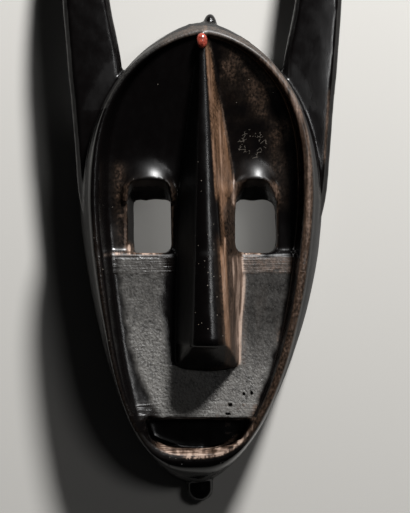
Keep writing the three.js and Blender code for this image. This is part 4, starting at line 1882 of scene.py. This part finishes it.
    def dry(self) -> Array:
        """Where nobody rubbed the wood, most on the outer sides, in the hollow and left of the nose.

        Returns:
            A value from 0 to 1 for each vertex.
        """
        x, rise, height = self.x, self.rise, self.height
        inside = np.abs(x - FORM.sway(rise)) < FORM.outline.half_at(rise) + 3.0
        outside = smooth_step((-self.inward - 2.0) / 3.0) * smooth_step((0.55 - self.spot.facing) / 0.3)
        outside = outside * inside * smooth_step((rise - 55) / 25)
        outside *= 1.0 - smooth_step((rise - 205) / 25) * smooth_step((66 - height) / 6)
        flank = window(self.out, 2.0, 30.0, 2.0) * (self.share < 1.0) * (x < 5) * ~self.right
        flank = flank * window(rise, 123, 335, 4) * self.flank_dry
        ridge = (self.out < 0.5) * smooth_step((rise - 236) / 16) * (rise < 340) * self.ridge_dry
        smooth = 1.0 - self.hammered()
        corner = window(self.inward, 3.0, 15.0, 2.0) * (x < 0) * self.corner_dry
        corner = corner * window(rise, 60, 250, 10) * smooth
        foot = bell(self.inward - 11.0, 4.0) * (x < 0) * window(rise, 62, 184, 6)
        corner = np.maximum(corner, foot * self.foot_dry * smooth)
        dome = self.crown_dome() * self.dome_dry
        sheen = window(self.out, -8.0, 0.5, 2.0) * self.right * window(rise, 106, 245, 10) * self.sheen_dry
        lip = window(self.inward, -1.5, 2.6, 1.0) * (rise < 56) * (height > 46) * self.lip_dry
        lid = bell(rise - self.lid_edge, 2.2) * (height > 50) * self.level * self.lip_dry
        brows = np.zeros(len(corner))
        for eye in self.eyes:
            away = np.hypot((x - eye.arch_x) / 20, (rise - 245) / 12)
            brows = np.maximum(brows, bell(away, 1.0) * (height > 58) * self.brow_dry)
        slight = (ridge, corner, dome, sheen, lip, lid, brows)
        return np.maximum.reduce((outside, flank, *slight, 1.0 - self.spot.front()))

    def hammered(self) -> Array:
        """Where fine hammer marks cover the cheeks and, more faintly, the crown's dome; the same places get a
        painted grey sheen, brighter low on the cheeks and fading into painted shade by the left wall and the
        nose.

        Returns:
            A value from 0 to 1 for each vertex.
        """
        x, rise = self.x, self.rise
        # Painted sheen: stronger towards the bottom of the cheeks, and stronger on the left cheek than on the
        # right.
        left = mix(0.45, 1.0, smooth_step((165 - rise) / 75))
        right = mix(0.24, 0.9, smooth_step((140 - rise) / 65))
        ragged = 2.0 * self.noise(6, 25)
        # Painted shade: on the left the sheen stops well inside the wall, where the wall's slope lies in
        # shade.
        start = np.where(x > 0, 5.5, mix(11.0, 17.0, smooth_step((125 - rise) / 60)))
        edge = smooth_step((self.inward + ragged - start) / np.where(x > 0, 5.0, 7.0))
        # Painted shadow of the nose: on the left cheek the sheen keeps clear of the nose's foot, most of all
        # higher up.
        margin = 7.0 * smooth_step((rise - 95) / 60)
        edge *= np.where(x > 0, 1.0, smooth_step((self.beyond + ragged - margin) / 7.0))
        cheeks = self.level * window(rise, *self.cheek_run, 2) * (self.share > 0.95)
        cheeks = cheeks * np.where(x > 0, right, left) * edge
        # The crown's dome gets a faint share of the hammer marks and of the painted sheen.
        return np.maximum(cheeks, self.crown_dome() * self.dome_hammer_and_sheen) * self.front

    def scored(self) -> Array:
        """Where level strokes of a blade were left, under the eyes and above the mouth.

        Returns:
            A value from 0 to 1 for each vertex.
        """
        rise = self.rise + 3.0 * self.noise((9, 1.6, 9), 26)
        strokes = window(rise, *self.under_eyes, 2) + window(rise, *self.over_mouth, 3)
        return np.maximum(strokes * self.level * (self.share > 0.95), self.lip())

    def dusty(self) -> Array:
        """Where dust has settled.

        Returns:
            A value from 0 to 1 for each vertex.
        """
        nose = window(self.out, -9.0, 4.0, 4.0) * window(self.rise, 118, 250, 8)
        thin = np.full(len(nose), 0.025)
        return np.maximum.reduce((nose * 0.5, bell(self.inward, 6.0) * 0.1, thin)) * self.front

    def crackled(self) -> Array:
        """Where a drop dried and cracked in a ring, and a rubbed spot on the right edge.

        Returns:
            A value from 0 to 1 for each vertex.
        """
        x, rise = self.x, self.rise
        ring = bell(np.hypot(x - 35.8, rise - 265.4) - 8.0, 2.6) * self.level
        rub = bell(np.hypot((x - 84.0) / 4.0, (rise - 230.0) / 8.0), 0.8) * (self.height > 30)
        return np.maximum(ring, rub) * self.front


@dataclass
class WoodenMask:
    """The whole carving, joined from its parts, worked over and dressed in its patina."""

    finish: PatinatedWood = field(default_factory=PatinatedWood)
    carver: Carver = field(default_factory=Carver)
    damage: Damage = field(default_factory=Damage)
    eyes: tuple[EyeOpening, ...] = (
        EyeOpening(
            x=-36.4,
            width=27.0,
            outer_flare=5.6,
            corners=(5.0, 3.0, 3.5, 5.5),
            tilt=0.03,
            arch_x=-39.8,
            arch_half=17.0,
            narrowing=0.1,
        ),
        EyeOpening(
            x=38.4,
            width=30.5,
            outer_flare=1.0,
            tilt=-0.01,
            arch_x=37.8,
            arch_half=14.6,
            narrowing=0.3,
        ),
    )

    def join(self) -> bpy.types.Object:
        """Joins the carved forms and cuts the openings, as one closed body.

        Returns:
            The closed body.
        """
        body = HeadShell().build()
        lugs = Lugs()
        forms = [NoseBeam().build(), Ear(Side.LEFT).build(), Ear(Side.RIGHT).build()]
        forms += [lugs.build_crown(), lugs.build_chin()]
        for eye in self.eyes:
            brow = eye.brow()
            forms += [brow.build_bulk(), brow.build_bead()]
        for form in forms:
            combine(body, form, "UNION")
        for tool in [*(eye.build() for eye in self.eyes), MouthSlot().build(), NoseHollow().build()]:
            combine(body, tool, "DIFFERENCE")
        return body

    def store(self, piece: bpy.types.Object, name: str, values: Array) -> None:
        """Keeps a value for each vertex, for the finish to read."""
        attribute = piece.data.attributes.new(name, "FLOAT", "POINT")
        attribute.data.foreach_set("value", np.clip(values, 0.0, 1.0).astype(np.float32))

    def dress(self, piece: bpy.types.Object) -> None:
        """Stores where the carving is worn, rubbed bright, hammered, scored or dusty, and where highlights,
        sheen and shade are painted in.

        Args:
            piece: The carving.
        """
        patina = Patina(FaceMap(read_places(piece), read_normals(piece)), self.eyes)
        values = {
            "wear_and_painted_light": patina.worn(),
            "warm": patina.warm(),
            "polish": patina.polished(),
            "hammer_and_sheen": patina.hammered(),
            "dry": patina.dry(),
            "scored": patina.scored(),
            "dust": patina.dusty(),
            "crackle": patina.crackled(),
        }
        for name, value in values.items():
            self.store(piece, name, value)

    def build(self) -> bpy.types.Object:
        """Makes the mask and gives it to the frame.

        Returns:
            The finished carving.
        """
        piece = self.join()
        self.carver.resurface(piece)
        self.carver.soften(piece)
        self.carver.mark(piece)
        self.carver.settle(piece)
        self.carver.thin(piece)
        self.damage.cut(piece)
        piece.vertex_groups.clear()
        self.dress(piece)
        piece.name = "carved_mask"
        piece.data.name = "carved_mask"
        pick(piece)
        bpy.ops.object.shade_smooth()
        piece.data.materials.clear()
        piece.data.materials.append(self.finish.build())
        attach(piece, "root")
        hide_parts("mask")
        return piece


@dataclass
class RedDrop:
    """The drop of red resin on the top end of the keel."""

    x: float = -1.4
    rise: float = 338.6
    height: float = 84.4
    radii: tuple[float, float, float] = (4.0, 5.6, 3.6)
    finish: RedResin = field(default_factory=RedResin)

    def build(self) -> bpy.types.Object:
        """Makes the drop and gives it to the frame.

        Returns:
            The finished drop.
        """
        clear_selection()
        bpy.ops.mesh.primitive_uv_sphere_add(segments=48, ring_count=32, radius=1.0)
        piece = named("resin_drop")
        places = read_places(piece) * METRES
        places += 0.05 * soft_noise(places, 0.8, 31)[:, None] * places
        places = places * np.array(self.radii) + np.array([self.x, self.rise - HALF_LENGTH, self.height])
        write_places(piece, places)
        pick(piece)
        bpy.ops.object.shade_smooth()
        piece.data.materials.append(self.finish.build())
        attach(piece, "root")
        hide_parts("red_drop")
        return piece


@dataclass(frozen=True)
class Lamp:
    """A flat lamp: where it hangs from what it lights, how large it is and how bright."""

    name: str
    way: tuple[float, float, float]
    distance: float
    width: float
    length: float
    watts: float

    def build(self, aim: Vector) -> bpy.types.Object:
        """Hangs the lamp so that it faces the aim.

        Args:
            aim: The place that it lights.

        Returns:
            The lamp.
        """
        data = bpy.data.lights.new(self.name, "AREA")
        data.shape = "ELLIPSE"
        data.size = self.width
        data.size_y = self.length
        data.energy = self.watts
        way = Vector(self.way).normalized()
        lamp = bpy.data.objects.new(self.name, data)
        turn = way.to_track_quat("Z", "Y").to_matrix().to_4x4()
        lamp.matrix_world = Matrix.Translation(aim + way * self.distance) @ turn
        bpy.context.scene.collection.objects.link(lamp)
        return lamp


@dataclass
class Studio:
    """Pale floor, soft light from the upper right, and the camera that looks down on the mask."""

    target: tuple[float, float, float] = (2.27, -54.1, 30.0)
    distance: float = 1800.0
    yaw: float = 1.5
    focal_pixels: float = 2427.0
    frame_height: int = 513
    floor_size: float = 6.0
    floor_colour: str = "#a09e9a"
    floor_roughness: float = 0.85
    room_colour: str = "#eef0f4"
    key: Lamp = Lamp("key_lamp", (0.28, 0.77, 0.57), 1.9, 0.28, 0.28, 100.0)
    strip: Lamp = Lamp("strip_lamp", (0.38, 0.2, 0.9), 1.9, 0.2, 0.5, 4.0)
    hollow: Lamp = Lamp("hollow_lamp", (0.0, 0.0, 1.0), 0.040, 0.10, 0.17, 0.03)
    hollow_centre: tuple[float, float] = (-0.004, -0.030)
    fill_strength: float = 0.012

    def build_floor(self) -> None:
        """Lays a plain pale floor under the mask."""
        clear_selection()
        bpy.ops.mesh.primitive_plane_add(size=self.floor_size, location=(0.0, 0.0, 0.0))
        floor = named("floor")
        material, tree = new_material("pale_floor_paint")
        paint = {"Base Color": linear(self.floor_colour), "Roughness": self.floor_roughness}
        surface = add_node(tree, "ShaderNodeBsdfPrincipled", paint).outputs["BSDF"]
        add_node(tree, "ShaderNodeOutputMaterial", {"Surface": surface})
        floor.data.materials.append(material)

    def build_lights(self) -> None:
        """Hangs the key and the strip, lights the floor in the hollow, and sets the room's dim light."""
        aim = Vector(self.target) * METRES
        self.key.build(aim)
        self.strip.build(aim)
        inside = self.hollow.build(Vector((*self.hollow_centre, 0.0)))
        inside.visible_camera = False
        world = bpy.data.worlds.new("room")
        world.use_nodes = True
        world.node_tree.nodes.clear()
        room = {"Color": linear(self.room_colour), "Strength": self.fill_strength}
        back = add_node(world.node_tree, "ShaderNodeBackground", room)
        add_node(world.node_tree, "ShaderNodeOutputWorld", {"Surface": back.outputs["Background"]})
        bpy.context.scene.world = world

    def build_camera(self) -> None:
        """Hangs the camera over the mask, turned a little as the photograph's was."""
        data = bpy.data.cameras.new("camera")
        data.sensor_width = 36.0
        data.lens = self.focal_pixels / self.frame_height * data.sensor_width
        camera = bpy.data.objects.new("camera", data)
        turn = math.radians(self.yaw)
        aim = Vector(self.target) * METRES
        way = Vector((-math.sin(turn), 0.0, math.cos(turn)))
        camera.matrix_world = (
            Matrix.Translation(aim + way * self.distance * METRES) @ Matrix.Rotation(-turn, 4, "Y")
        )
        bpy.context.scene.collection.objects.link(camera)
        bpy.context.scene.camera = camera

    def build(self) -> None:
        """Makes the floor, the lights and the camera."""
        self.build_floor()
        self.build_lights()
        self.build_camera()
        bpy.context.scene.view_settings.view_transform = "Standard"


def main() -> None:
    """Builds the studio, the mask and the drop, and reports each."""
    logging.basicConfig(level=logging.INFO, format="%(name)s: %(message)s")
    Studio().build()
    LOG.info("studio ready")
    for assembly in (WoodenMask(), RedDrop()):
        piece = assembly.build()
        LOG.info("%s: %d faces", piece.name, len(piece.data.polygons))


if __name__ == "__main__":
    main()
